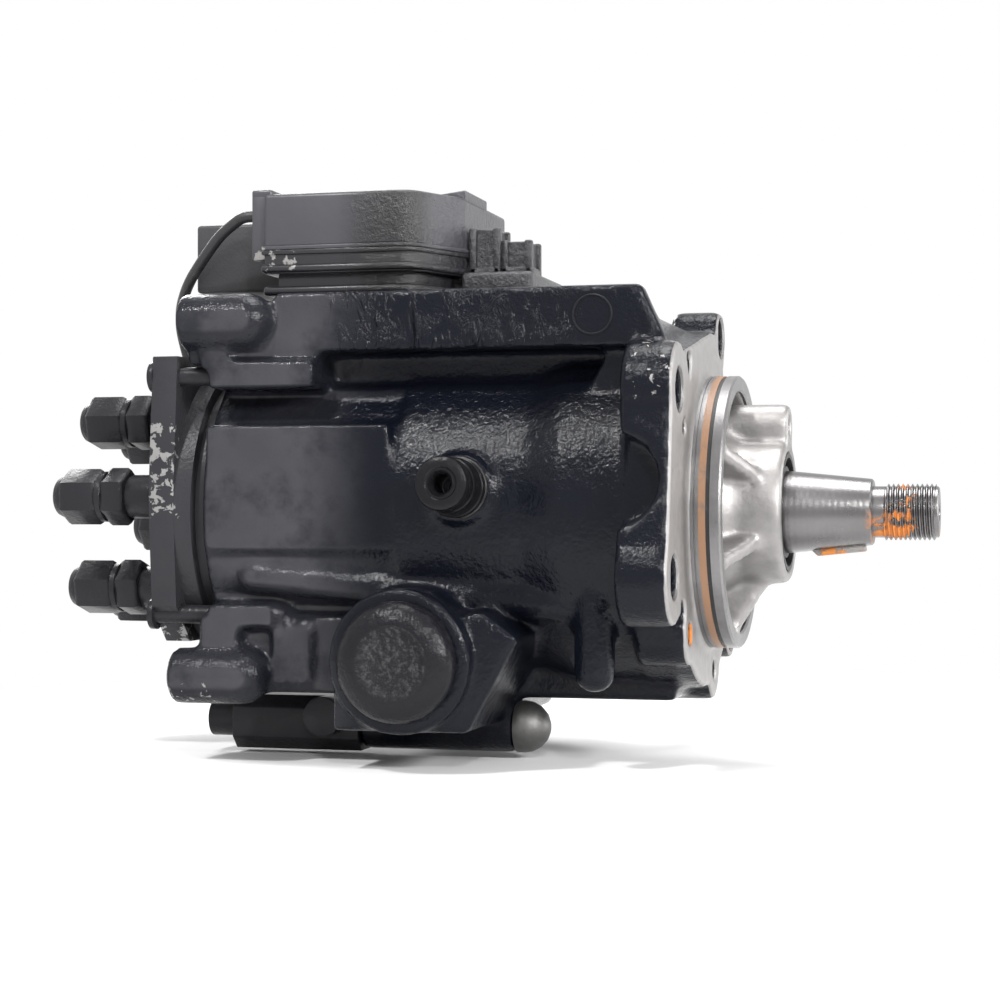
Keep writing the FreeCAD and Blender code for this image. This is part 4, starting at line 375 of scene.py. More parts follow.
@dataclass(frozen=True)
class EnginePaint(Finish):
    """Gloss black paint with orange peel, runs, dust and chips, and where asked a painted grey reflection on
    flat near faces, over a casting or steel.
    """

    colour: Colour = (0.003, 0.004, 0.008)
    # pale is a painted reflection: a grey laid on flat faces turned to -Y in place of the surroundings they
    # reflect; its span sets where along X it fades in.
    pale: Colour | None = None
    painted_reflection_span: Corner = (-0.095, -0.125)
    gloss: float = 0.10
    specular: float = 0.165
    peel: float = 0.00017
    chips: float = 0.80
    bare: Colour = (0.29, 0.285, 0.28)
    worn: tuple[Region, ...] = ()
    rough_ball: tuple[Point, float] | None = None
    marked: Region | None = None
    machined: bool = False
    runs: Region | None = None

    def build(self, graph: Graph) -> bpy.types.Material:
        """Paints, chips and leaves the machined front bare.

        Args:
            graph: The empty node tree.

        Returns:
            The material.
        """
        chipped = self.chipped(graph)
        bare = graph.maths("MAXIMUM", chipped, self.front(graph)) if self.machined else chipped
        cast = graph.blend(graph.noise(260.0, 4.0), shade(self.bare, 0.7), self.bare)
        bare_rough = graph.level(graph.noise(190.0, 3.0), 0.38, 0.55)
        colour: Feed = self.colour
        # Painted reflection: flat faces turned to -Y at the rear get the pale grey in noisy blotches, fading
        # out towards the front and on curved faces.
        if self.pale is not None:
            painted_reflection_blotches = graph.level(graph.band(graph.noise(34.0, 5.0, 0.62), 0.36, 0.56), 0.35, 1.0)
            flat = graph.level(graph.band(graph.facing("Y"), -0.86, -0.97), 0.3, 1.0)
            painted_reflection_mask = graph.maths("MULTIPLY", painted_reflection_blotches, graph.band(graph.axis("X"), *self.painted_reflection_span))
            colour = graph.blend(graph.maths("MULTIPLY", painted_reflection_mask, flat), self.colour, self.pale)
        paint = graph.blend(graph.maths("MULTIPLY", graph.noise(33.0, 4.0), 0.6), colour, DEEP_BLACK)
        dusty = graph.band(graph.noise(60.0, 5.0, 0.7), 0.62, 0.9)
        paint = graph.blend(graph.maths("MULTIPLY", dusty, 0.12), paint, DUST)
        if self.marked is not None:
            smear = graph.total((graph.noise(240.0, 5.0, 0.7), 1.0),
                                (graph.within(self.marked, 0.002), 0.25))
            paint = graph.blend(graph.band(smear, 0.78, 0.82), paint, YELLOW_MARK)
        if self.rough_ball is not None:
            grit = graph.band(graph.noise(560.0, 5.0, 0.75), 0.46, 0.74)
            crusted = graph.maths("MULTIPLY", grit, graph.near(*self.rough_ball))
            paint = graph.blend(crusted, paint, GRIT)
        graph.set(Base_Color=graph.blend(bare, paint, cast))
        graph.set(Metallic=graph.maths("MULTIPLY", bare, 0.85))
        sheen = graph.level(graph.noise(48.0, 5.0, 0.6), self.gloss * 0.6, self.gloss * 1.8)
        graph.set(Roughness=graph.level(bare, sheen, bare_rough))
        graph.set(Normal=self.relief(graph, chipped))
        graph.shader.inputs["Specular IOR Level"].default_value = self.specular
        return graph.material

    def chipped(self, graph: Graph) -> bpy.types.NodeSocket:
        """Where the paint has flaked off: small flecks, more of them at edges and in worn regions.

        Args:
            graph: The finish's node tree.

        Returns:
            A mask that is 1 where the paint is gone.
        """
        flecks = graph.noise(300.0, 5.0, 0.62, bend=0.4)
        patches = graph.band(graph.noise(17.0, 3.0, 0.6), 0.5, 0.72)
        edges = graph.band(graph.edges(), 0.505, 0.58)
        spots = [(graph.within(region), 0.2) for region in self.worn]
        chance = graph.total((flecks, 1.0), (patches, 0.07), (edges, 0.07), *spots)
        return graph.band(chance, self.chips, self.chips + 0.02)

    def front(self, graph: Graph) -> bpy.types.NodeSocket:
        """The bare turned face and nose in front of the flange.

        Args:
            graph: The finish's node tree.

        Returns:
            A mask that is 1 on the machined front.
        """
        ragged = graph.total((graph.axis("X"), 1.0), (graph.noise(160.0, 4.0, 0.7), 0.0007))
        face = graph.maths("MULTIPLY", graph.band(graph.facing("X"), 0.45, 0.7),
                           graph.band(ragged, -0.0020, -0.0014))
        return graph.maths("MAXIMUM", face, graph.band(ragged, 0.0010, 0.0014))

    def relief(self, graph: Graph, chipped: bpy.types.NodeSocket) -> bpy.types.NodeSocket:
        """Orange peel and lumps, the runs of thick paint, a cast skin where it is rough, and the chips.

        Args:
            graph: The finish's node tree.
            chipped: The mask of the chips.

        Returns:
            The bent normal.
        """
        flat = graph.band(graph.facing("Y"), -0.9, -0.97)
        calm = graph.maths("MULTIPLY", flat, graph.band(graph.axis("X"), -0.095, -0.128))
        height = graph.level(calm, 1.0, 0.35)
        if self.machined:
            height = graph.maths("MULTIPLY", height, graph.level(self.front(graph), 1.0, 0.15))
        fine = graph.maths("MULTIPLY", graph.noise(950.0, 3.0, 0.6), height)
        coarse = graph.maths("MULTIPLY", graph.noise(330.0, 3.0, 0.55), height)
        bent = graph.bump(fine, self.peel * 1.3)
        bent = graph.bump(coarse, self.peel * 2.2, 1.0, bent)
        bent = graph.bump(graph.noise(110.0, 2.0, 0.5), self.peel * 1.6, 0.8, bent)
        if self.runs is not None:
            where = graph.within(self.runs, 0.012)
            lumps = graph.band(graph.noise(230.0, 4.0, 0.6, (1.0, 0.6, 0.6), 0.5), 0.45, 0.75)
            drips = graph.band(graph.noise(120.0, 3.0, 0.55, (1.3, 0.5, 0.4), 0.4), 0.6, 0.72)
            bent = graph.bump(graph.maths("MULTIPLY", lumps, where), 0.0007, 0.9, bent)
            bent = graph.bump(graph.maths("MULTIPLY", drips, where), 0.0010, 1.0, bent)
        if self.rough_ball is not None:
            crust = graph.maths("MULTIPLY", graph.noise(520.0, 5.0, 0.7), graph.near(*self.rough_ball))
            bent = graph.bump(crust, 0.0009, 1.0, bent)
        bent = graph.bump(graph.maths("SUBTRACT", 1.0, chipped), 0.00012, 1.0, bent)
        return graph.bump(graph.cells(750.0), 0.00005, 0.5, bent)


@dataclass(frozen=True)
class CastMetal(Finish):
    """Bare cast aluminium with a fine grain and dull stains."""

    colour: Colour = (0.31, 0.305, 0.30)
    rough: float = 0.46
    lines: bool = False
    grain: float = 0.00012

    def build(self, graph: Graph) -> bpy.types.Material:
        """Grains and stains the metal.

        Args:
            graph: The empty node tree.

        Returns:
            The material.
        """
        stain = graph.band(graph.noise(44.0, 5.0, 0.65), 0.35, 0.8)
        graph.set(Base_Color=graph.blend(stain, self.colour, shade(self.colour, 0.62)))
        graph.shader.inputs["Metallic"].default_value = 0.9
        graph.set(Roughness=graph.level(graph.noise(150.0, 4.0), self.rough * 0.75, self.rough * 1.25))
        relief = graph.bump(graph.noise(900.0, 3.0, 0.7), self.grain)
        if self.lines:
            relief = graph.bump(graph.lathe_lines(1400.0), 0.00004, 0.6, relief)
        graph.set(Normal=relief)
        return graph.material


@dataclass(frozen=True)
class Steel(Finish):
    """Turned or ground steel with tool lines, scratches and, where asked, rust."""

    colour: Colour = (0.30, 0.30, 0.31)
    rough: float = 0.27
    rust: float = 1.0
    rust_from: float = -1.0
    rust_to: float = -0.9
    lines: float = 1600.0

    def build(self, graph: Graph) -> bpy.types.Material:
        """Turns, scratches and rusts the steel.

        Args:
            graph: The empty node tree.

        Returns:
            The material.
        """
        smear = graph.noise(36.0, 5.0, 0.6)
        metal = graph.blend(smear, shade(self.colour, 0.66), shade(self.colour, 1.15))
        scratch = graph.band(graph.noise(120.0, 8.0, 0.75, (1.0, 0.25, 0.25)), 0.62, 0.7)
        metal = graph.blend(graph.maths("MULTIPLY", scratch, 0.4), metal, SCRATCHED)
        region = graph.band(graph.axis("X"), self.rust_from, self.rust_to)
        crust = graph.band(graph.noise(105.0, 6.0, 0.7, bend=0.4), self.rust, self.rust + 0.06)
        rusty = graph.maths("MULTIPLY", crust, region)
        orange = graph.blend(graph.noise(300.0, 4.0), DARK_RUST, LIGHT_RUST)
        graph.set(Base_Color=graph.blend(rusty, metal, orange))
        graph.set(Metallic=graph.maths("SUBTRACT", 1.0, graph.maths("MULTIPLY", rusty, 0.95)))
        shine = graph.level(graph.noise(80.0, 4.0), self.rough * 0.7, self.rough * 1.5)
        graph.set(Roughness=graph.level(rusty, shine, 0.85))
        relief = graph.bump(graph.lathe_lines(self.lines), 0.00003, 0.5)
        relief = graph.bump(graph.noise(700.0, 4.0), 0.00005, 0.6, relief)
        graph.set(Normal=graph.bump(rusty, 0.00016, 1.0, relief))
        return graph.material


@dataclass(frozen=True)
class Moulded(Finish):
    """Moulded plastic or rubber with a fine grain and rubbed spots."""

    colour: Colour = (0.012, 0.012, 0.013)
    rough: float = 0.45
    grain: float = 0.00008
    rubbed: Colour = (0.05, 0.05, 0.052)

    def build(self, graph: Graph) -> bpy.types.Material:
        """Grains and rubs the surface.

        Args:
            graph: The empty node tree.

        Returns:
            The material.
        """
        worn = graph.band(graph.noise(85.0, 6.0, 0.7), 0.56, 0.8)
        graph.set(Base_Color=graph.blend(worn, self.colour, self.rubbed))
        graph.set(Roughness=graph.level(graph.noise(65.0, 4.0), self.rough * 0.7, self.rough * 1.4))
        relief = graph.bump(graph.noise(1300.0, 2.0), self.grain)
        graph.set(Normal=graph.bump(graph.noise(140.0, 3.0), self.grain * 3.0, 0.6, relief))
        return graph.material


@dataclass(frozen=True)
class Painted(Finish):
    """Smooth black lacquer on the control unit, with rough sprayed patches and chipped edges."""

    colour: Colour = (0.034, 0.034, 0.039)
    rough: float = 0.33
    patch_from: float = -0.115
    patch_to: float = -0.1
    worn: Region = ((-0.142, -0.042, 0.0785), (-0.128, -0.036, 0.0845))

    def build(self, graph: Graph) -> bpy.types.Material:
        """Sprays, roughens and chips the lacquer.

        Args:
            graph: The empty node tree.

        Returns:
            The material.
        """
        chance = graph.total((graph.noise(230.0, 6.0, 0.66), 1.0),
                             (graph.band(graph.edges(), 0.51, 0.6), 0.1),
                             (graph.within(self.worn, 0.002), 0.16))
        chipped = graph.band(chance, 0.77, 0.79)
        paint = graph.blend(graph.noise(28.0, 4.0), self.colour, shade(self.colour, 1.6))
        dark = graph.maths("MULTIPLY", graph.band(graph.axis("X"), self.patch_from, self.patch_to),
                           graph.band(graph.axis("X"), self.patch_to + 0.016, self.patch_to + 0.012))
        paint = graph.blend(graph.maths("MULTIPLY", dark, 0.9), paint, shade(self.colour, 0.12))
        graph.set(Base_Color=graph.blend(chipped, paint, PRIMER))
        graph.set(Metallic=graph.maths("MULTIPLY", chipped, 0.7))
        graph.set(Roughness=graph.level(graph.noise(40.0, 4.0), self.rough * 0.65, self.rough * 1.35))
        rough_patch = graph.band(graph.axis("X"), self.patch_from, self.patch_to)
        spray = graph.noise(520.0, 4.0, 0.7)
        relief = graph.bump(graph.maths("MULTIPLY", spray, rough_patch), 0.0008, 0.9)
        graph.set(Normal=graph.bump(graph.noise(330.0, 2.0), 0.00007, 1.0, relief))
        return graph.material


# The casting's pale colour is a painted grey reflection on its rear flat near faces.
CASTING_PAINT = EnginePaint(
    "casting_paint", machined=True, bare=(0.315, 0.305, 0.30), pale=(0.058, 0.058, 0.065),
    runs=((-0.108, -0.06, 0.053), (-0.040, -0.045, 0.08)),
    worn=(((-0.168, -0.06, -0.064), (-0.150, -0.03, -0.055)), ((-0.012, -0.085, 0.034), (0.0, -0.05, 0.06))))
HEAD_PAINT = EnginePaint(
    "head_paint", colour=(0.034, 0.034, 0.038), gloss=0.3, peel=0.0001, bare=(0.37, 0.365, 0.36),
    worn=(((-0.176, -0.053, -0.001), (-0.1655, -0.044, 0.027)),
          ((-0.176, -0.053, -0.047), (-0.1655, -0.026, -0.036))))
FITTING_PAINT = EnginePaint(
    "fitting_paint", colour=(0.022, 0.022, 0.025), gloss=0.26, chips=0.82, peel=0.0001)
UNION_PAINT = EnginePaint(
    "union_paint", colour=(0.007, 0.007, 0.008), gloss=0.2, chips=0.83, peel=0.0001,
    marked=((-0.081, -0.066, -0.002), (-0.0755, -0.053, 0.013)))
COVER_PAINT = EnginePaint(
    "cover_paint", colour=(0.010, 0.010, 0.012), gloss=0.12, chips=0.82,
    rough_ball=((-0.085, -0.0737, -0.0459), 0.0112))
NOSE_METAL = CastMetal("nose_metal", colour=(0.225, 0.22, 0.22), lines=True, grain=0.00005, rough=0.36)
SHAFT_STEEL = Steel(
    "shaft_steel_finish", colour=(0.17, 0.165, 0.165), rust=0.56, rust_from=0.050, rust_to=0.056)
KEY_STEEL = Steel(
    "key_steel_finish", colour=(0.26, 0.25, 0.24), rust=0.52, rust_from=0.0, rust_to=0.001, rough=0.4)
RUSTED = Steel("rusted_steel_finish", colour=(0.2, 0.19, 0.18), rust=0.3, rough=0.5)
SEAL_RING = Moulded(
    "seal_ring_finish", colour=(0.25, 0.135, 0.075), rough=0.4, rubbed=(0.13, 0.10, 0.085))
BLACK_RUBBER = Moulded("black_rubber", rough=0.5)
LEAD_RUBBER = Moulded(
    "lead_rubber_finish", colour=(0.02, 0.02, 0.022), rough=0.42, rubbed=(0.05, 0.05, 0.05))
CONNECTOR_PLASTIC = Moulded("connector_plastic_finish", colour=(0.03, 0.03, 0.033), rough=0.5)
UNIT_LACQUER = Painted("unit_lacquer")
UNIT_BASE_LACQUER = Painted("unit_base_lacquer", colour=(0.012, 0.012, 0.0145), rough=0.24)
DULL_ZINC = CastMetal("dull_zinc", colour=(0.14, 0.138, 0.135), rough=0.5)

SLOT_FINISHES: dict[str, Finish] = {
    "black_casting": CASTING_PAINT,
    "black_head": HEAD_PAINT,
    "copper_ring": SEAL_RING,
    "black_ring": BLACK_RUBBER,
    "seal_rubber": BLACK_RUBBER,
    "bearing_bronze": CastMetal("bearing_bronze_finish", colour=(0.52, 0.32, 0.16), rough=0.35, lines=True),
    "shaft_steel": SHAFT_STEEL,
    "inner_steel": Steel("inner_steel_finish", colour=(0.46, 0.46, 0.47)),
    "spring_steel": Steel("spring_steel_finish", colour=(0.34, 0.34, 0.36), rough=0.35),
    "sensor_plastic": Moulded("sensor_plastic_finish", colour=(0.03, 0.03, 0.03)),
    "black_steel": FITTING_PAINT,
    "black_cap": FITTING_PAINT,
    "coil": Moulded("coil_finish", colour=(0.30, 0.10, 0.03), rough=0.4),
    "bare_zinc": DULL_ZINC,
    "washer": Moulded("washer_finish", colour=(0.02, 0.019, 0.018), rough=0.4),
    "unit_casting": UNIT_BASE_LACQUER,
    "unit_lid": UNIT_LACQUER,
    "screw_steel": Steel("screw_steel_finish", colour=(0.42, 0.42, 0.43), rough=0.4),
    "board": Moulded("board_finish", colour=(0.02, 0.10, 0.04), rough=0.4),
    "connector_plastic": CONNECTOR_PLASTIC,
    "pin_brass": Steel("pin_brass_finish", colour=(0.60, 0.45, 0.18), rough=0.3),
    "lead_rubber": LEAD_RUBBER,
}


def towards(at: Point, way: Point) -> Matrix:
    """A place whose X axis runs along a way.

    Args:
        at: The place, in millimetres.
        way: The direction of its X axis.

    Returns:
        The matrix that moves a shape there.
    """
    turn = Vector(way).to_track_quat("X", "Z")
    return Matrix.Translation(Vector(at)) @ turn.to_matrix().to_4x4()


def on_circle(radius: float, degrees: float) -> Matrix:
    """A place on a circle about the shaft's axis, counted from +Y towards +Z."""
    angle = math.radians(degrees)
    return Matrix.Translation((0.0, radius * math.cos(angle), radius * math.sin(angle)))


class Stock:
    """A mesh under work, in millimetres, in the pump's own frame."""

    def __init__(self) -> None:
        """Starts an empty mesh."""
        self.bm = bmesh.new()

    @classmethod
    def of_node(cls, node: str) -> Stock:
        """A merged copy of a CAD node's mesh.

        Args:
            node: The node's name.

        Returns:
            The copy, in millimetres.
        """
        stock = cls()
        stock.bm.from_mesh(FRAME["nodes"][node].data)
        bmesh.ops.scale(stock.bm, vec=(1.0 / METRES_PER_MM,) * 3, verts=stock.bm.verts)
        bmesh.ops.remove_doubles(stock.bm, verts=stock.bm.verts, dist=0.002)
        return stock

    @classmethod
    def wound(cls, profile: Sequence[Corner], steps: int, turns: int = 1, pitch: float = 0.0) -> Stock:
        """Winds (along, radius) corners round the X axis.

        Args:
            profile: The corners, in millimetres.
            steps: Faces in each turn.
            turns: The number of turns.
            pitch: How far each turn runs along the axis.

        Returns:
            The wound surface.
        """
        stock = cls()
        rim = [stock.bm.verts.new((along, 0.0, radius)) for along, radius in profile]
        runs = [stock.bm.edges.new(pair) for pair in zip(rim, rim[1:])]
        bmesh.ops.spin(stock.bm, geom=rim + runs, cent=(0, 0, 0), axis=(1, 0, 0),
                       dvec=(pitch / steps, 0, 0), angle=FULL_TURN * turns, steps=steps * turns,
                       use_merge=pitch == 0.0, use_normal_flip=False, use_duplicate=False)
        return stock

    @classmethod
    def lathe(cls, profile: Sequence[Corner], steps: int = 72) -> Stock:
        """A shape turned about the X axis from (along, radius) corners.

        Args:
            profile: The corners, in millimetres.
            steps: Faces round the axis.

        Returns:
            The turned shape.
        """
        stock = cls.wound(profile, steps)
        bmesh.ops.remove_doubles(stock.bm, verts=stock.bm.verts, dist=0.0005)
        bmesh.ops.recalc_face_normals(stock.bm, faces=stock.bm.faces)
        return stock

    @classmethod
    def prism(cls, sides: int, radius: float, start: float, end: float, tip: float | None = None) -> Stock:
        """A prism or cone along X.

        Args:
            sides: Its number of sides.
            radius: Its corner radius at the start.
            start: Where it starts on X.
            end: Where it ends on X.
            tip: Its corner radius at the end, if another.

        Returns:
            The prism.
        """
        stock = cls()
        middle = Matrix.Translation(((start + end) / 2.0, 0.0, 0.0)) @ Matrix.Rotation(math.pi / 2.0, 4, "Y")
        bmesh.ops.create_cone(stock.bm, cap_ends=True, cap_tris=False, segments=sides, radius1=radius,
                              radius2=radius if tip is None else tip, depth=end - start, matrix=middle)
        return stock

    @classmethod
    def block(cls, low: Point, high: Point) -> Stock:
        """A block between two corners.

        Args:
            low: The corner with the lowest coordinates.
            high: The corner with the highest coordinates.

        Returns:
            The block.
        """
        stock = cls()
        size = Vector(high) - Vector(low)
        place = Matrix.Translation((Vector(high) + Vector(low)) / 2.0) @ Matrix.Diagonal((*size, 1.0))
        bmesh.ops.create_cube(stock.bm, size=1.0, matrix=place)
        return stock

    @classmethod
    def slab(cls, outline: Sequence[Point], rise: Point) -> Stock:
        """A flat outline pulled into a slab.

        Args:
            outline: The corners of one face, in order.
            rise: How far the face is pulled.

        Returns:
            The slab.
        """
        stock = cls()
        face = stock.bm.faces.new([stock.bm.verts.new(point) for point in outline])
        pulled = bmesh.ops.extrude_face_region(stock.bm, geom=[face])
        moved = [item for item in pulled["geom"] if isinstance(item, bmesh.types.BMVert)]
        bmesh.ops.translate(stock.bm, vec=rise, verts=moved)
        bmesh.ops.recalc_face_normals(stock.bm, faces=stock.bm.faces)
        return stock

    def flat(self, degrees: float = 0.4) -> Stock:
        """Joins triangles that lie in one plane.

        Args:
            degrees: The largest angle between faces that are joined.

        Returns:
            The stock itself.
        """
        bmesh.ops.dissolve_limit(self.bm, angle_limit=math.radians(degrees), use_dissolve_boundaries=False,
                                 verts=self.bm.verts, edges=self.bm.edges)
        return self

    def soften(self, width: float, segments: int = 2, sharper: float = 35.0) -> Stock:
        """Rounds the edges that are sharper than an angle.

        Args:
            width: The width of the rounding.
            segments: Its number of steps.
            sharper: The least angle in degrees.

        Returns:
            The stock itself.
        """
        sharp = [edge for edge in self.bm.edges
                 if len(edge.link_faces) == 2 and edge.calc_face_angle() > math.radians(sharper)]
        bmesh.ops.bevel(self.bm, geom=sharp, offset=width, offset_type="OFFSET", affect="EDGES",
                        segments=segments, profile=0.5, material=-1, clamp_overlap=True)
        return self

    def inside_out(self) -> Stock:
        """Turns the faces round, for the wall of a hole.

        Returns:
            The stock itself.
        """
        for face in self.bm.faces:
            face.normal_flip()
        return self

    def move(self, place: Matrix) -> Stock:
        """Moves the mesh by a matrix."""
        bmesh.ops.transform(self.bm, matrix=place, verts=self.bm.verts)
        return self

    def join(self, *others: Stock) -> Stock:
        """Takes other meshes in.

        Args:
            others: The meshes; they are used up.

        Returns:
            The stock itself.
        """
        for other in others:
            spare = bpy.data.meshes.new("spare")
            other.bm.to_mesh(spare)
            other.bm.free()
            self.bm.from_mesh(spare)
            bpy.data.meshes.remove(spare)
        return self

    def carve(self, tool: Stock) -> Stock:
        """Cuts another mesh's room out of this one.

        Args:
            tool: The closed mesh to cut with; it is used up.

        Returns:
            The stock itself.
        """
        carved, carver = self.held("carved"), tool.held("carver")
        tool.bm.free()
        step = carved.modifiers.new("room", "BOOLEAN")
        step.operation = "DIFFERENCE"
        step.solver = "EXACT"
        step.object = carver
        self.take(carved, carver)
        return self

    def held(self, name: str) -> bpy.types.Object:
        """A spare object with a copy of this mesh, for a modifier.

        Args:
            name: The object's name.

        Returns:
            The spare object.
        """
        mesh = bpy.data.meshes.new(name)
        self.bm.to_mesh(mesh)
        item = bpy.data.objects.new(name, mesh)
        bpy.context.scene.collection.objects.link(item)
        return item

    def take(self, item: bpy.types.Object, *tools: bpy.types.Object) -> None:
        """Takes a spare object's mesh as its modifier leaves it, and clears the spare objects away.

        Args:
            item: The spare object with the modifier.
            tools: The spare objects that the modifier works with.
        """
        result = bpy.data.meshes.new_from_object(item.evaluated_get(bpy.context.evaluated_depsgraph_get()))
        self.bm.clear()
        self.bm.from_mesh(result)
        bpy.data.meshes.remove(result)
        for spare in (item, *tools):
            mesh = spare.data
            bpy.data.objects.remove(spare)
            bpy.data.meshes.remove(mesh)

    def melt(self, grain: float, rounds: int) -> Stock:
        """Melts the shapes into one skin with rounded corners, as a casting has.

        Args:
            grain: The size of the skin's faces.
            rounds: How often the skin is smoothed.

        Returns:
            The stock itself.
        """
        melted = self.held("melt")
        remesh = melted.modifiers.new("skin", "REMESH")
        remesh.mode = "VOXEL"
        remesh.voxel_size = grain
        remesh.adaptivity = 0.0
        self.take(melted)
        for _ in range(rounds):
            bmesh.ops.smooth_vert(self.bm, verts=self.bm.verts, factor=0.5, mirror_clip_x=False,
                                  mirror_clip_y=False, mirror_clip_z=False, clip_dist=0.0,
                                  use_axis_x=True, use_axis_y=True, use_axis_z=True)
        return self

    def piece(self, name: str, finish: Finish, slot: str, nodes: Iterable[str] = (),
              body: Body = Body.HOUSING, smooth_below: float = 38.0) -> bpy.types.Object:
        """Makes the mesh a piece of the pump.

        Args:
            name: The piece's name.
            finish: What it is finished with.
            slot: The record's material slot; it is not used.
            nodes: The CAD nodes that it stands for.
            body: The body that it rides on.
            smooth_below: Edges flatter than this many degrees are shaded smooth.

        Returns:
            The new object.
        """
        limit = math.radians(smooth_below)
        for face in self.bm.faces:
            face.smooth = True
        for edge in self.bm.edges:
            edge.smooth = len(edge.link_faces) == 2 and edge.calc_face_angle() < limit
        bmesh.ops.scale(self.bm, vec=(METRES_PER_MM,) * 3, verts=self.bm.verts)
        mesh = bpy.data.meshes.new(name)
        self.bm.to_mesh(mesh)
        self.bm.free()
        mesh.materials.append(finish.material())
        item = bpy.data.objects.new(name, mesh)
        bpy.context.scene.collection.objects.link(item)
        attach(item, body.value)
        nodes = tuple(nodes)
        if nodes:
            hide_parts(*nodes)
        LOG.info("%s: %d faces", name, len(mesh.polygons))
        return item


def softened(node: str, finish: Finish, slot: str, width: float, segments: int = 2,
             body: Body = Body.HOUSING) -> bpy.types.Object:
    """A CAD node's own shape with its edges broken.

    Args:
        node: The node.
        finish: What it is finished with.
        slot: The record's material slot.
        width: The width of the broken edges.
        segments: The steps across them.
        body: The body that it rides on.

    Returns:
        The piece.
    """
    stock = Stock.of_node(node).flat().soften(width, segments)
    return stock.piece(node + "_dressed", finish, slot, [node], body)


@dataclass
class Casting:
    """The cast housing with its machined pilot and hole edges."""

    grain: float = 1.25
    rounds: int = 5
    rear: float = -156.0
    bore: float = 44.0
    pilot: float = 44.0
    pilot_length: float = 10.8
    rim: float = 5.0
    groove_start: float = 3.9
    groove_end: float = 7.4
    groove_floor: float = 41.5
    pilot_inset: float = 42.9
    hole: float = 6.0
    hole_circle: float = 64.5
    hole_angles: tuple[float, ...] = (145.0, -162.4, 65.0, -40.0)
    thickness: float = 16.0
    recess_start: float = -38.0
    recess_side: float = -41.0
    recess_floor: float = 57.0

    def build(self) -> None:
        """Builds the casting, its pilot, the liners of its holes and the rim of its pad."""
        self.skin().piece("cast_housing", CASTING_PAINT, "black_casting", ["pump_housing"],
                          smooth_below=180.0)
        self.pilot_land().piece("pilot_land", NOSE_METAL, "black_casting")
        self.hole_edges().piece("mount_hole_edges", NOSE_METAL, "black_casting")
        self.rusty_hole().piece("rusty_hole", RUSTED, "black_casting")
        self.disc().piece("deck_disc", FITTING_PAINT, "black_casting")

    def plugs(self) -> list[Stock]:
        """Stops in the bores that other pieces close, so that the skin has no inside.

        Returns:
            The stops, in the pump's own frame.
        """
        valve_bore = Matrix.Translation((0, -12.0, -70.0))
        timing_bore = towards((-85.0, 0.0, -45.9), (0, 1, 0))
        return_bore = towards((-69.4, -54.57, 7.38), (0, -0.9976, 0.0698))
        inlet_bore = towards((-58.0, 57.0, 14.0), (0, 1, 0))
        stops = [
            Stock.prism(48, self.bore + 1.0, self.rear + 1.0, self.rear + 9.0),
            Stock.prism(48, 20.0, 17.0, 19.5),
            Stock.prism(24, 5.6, -112.0, -106.0).move(valve_bore),
            Stock.prism(24, 5.6, -68.0, -62.0).move(valve_bore),
            Stock.prism(36, 16.5, -58.5, -54.0).move(timing_bore),
            Stock.prism(36, 16.5, 43.0, 44.5).move(timing_bore),
        ]
        for side, height in product((-43.0, 43.0), (44.0, -33.2)):
            bolt_bore = Matrix.Translation((0, side, height))
            stops.append(Stock.prism(16, 3.6, self.rear + 1.5, self.rear + 10.0).move(bolt_bore))
        stops.append(Stock.prism(24, 7.6, -15.5, -11.2).move(return_bore))
        stops.append(Stock.prism(24, 7.6, -8.0, -1.5).move(inlet_bore))
        half = 2.6
        for x, y in product((-123.9, -93.0), (-31.0, 29.0)):
            stops.append(Stock.block((x - half, y - half, 62.0), (x + half, y + half, 69.5)))
        return stops

    def skin(self) -> Stock:
        """The casting's outside as one rounded skin.

        Returns:
            The skin.
        """
        stock = Stock.of_node("pump_housing")
        for vert in stock.bm.verts:
            radius = math.hypot(vert.co.y, vert.co.z)
            if 0.05 < vert.co.x < self.pilot_length + 1.0 and self.pilot_inset < radius < self.pilot + 0.5:
                vert.co.y *= self.pilot_inset / radius
                vert.co.z *= self.pilot_inset / radius
        for recess in self.deck_recesses():
            stock.carve(recess)
        return stock.join(*self.plugs()).melt(self.grain, self.rounds)

    def deck_recesses(self) -> list[Stock]:
        """The room behind the thin wall at the deck's right end, and the gap above the flange.

        Returns:
            Two blocks to cut away.
        """
        start, side, floor = self.recess_start, self.recess_side, self.recess_floor
        return [Stock.block((start, side, floor), (-16.2, 60.0, 72.0)),
                Stock.block((-17.0, side, floor + 3.0), (1.5, 15.0, 72.0))]

    def pilot_land(self) -> Stock:
        """The turned surface of the pilot with its ring groove.

        Returns:
            The turned ring.
        """
        bevel = 0.6
        profile = [
            (-0.4, self.pilot - 1.5), (-0.4, self.pilot), (0.9, self.pilot), (1.05, self.pilot - 0.4),
            (1.35, self.pilot - 0.4), (1.5, self.pilot), (2.4, self.pilot), (2.5, self.pilot - 0.3),
            (2.75, self.pilot - 0.3), (2.85, self.pilot), (self.groove_start, self.pilot),
            (self.groove_start, self.groove_floor), (self.groove_end, self.groove_floor),
            (self.groove_end, self.pilot), (self.pilot_length - bevel, self.pilot),
            (self.pilot_length, self.pilot - bevel), (self.pilot_length, self.pilot - self.rim + bevel),
            (self.pilot_length - bevel, self.pilot - self.rim),
            (self.pilot_length - 3.0, self.pilot - self.rim),
        ]
        return Stock.lathe(profile, 160)

    def rusty_hole(self) -> Stock:
        """The rusted wall and floor of the small hole by the flange's lower edge.

        Returns:
            The wall and the floor, facing inwards.
        """
        circle, angle, radius, depth = 51.0, -131.8, 3.15, 9.0
        wall = Stock.lathe([(-depth, 0.0), (-depth, radius), (-0.7, radius), (-0.1, radius + 0.5)], 32)
        return wall.inside_out().move(on_circle(circle, angle))

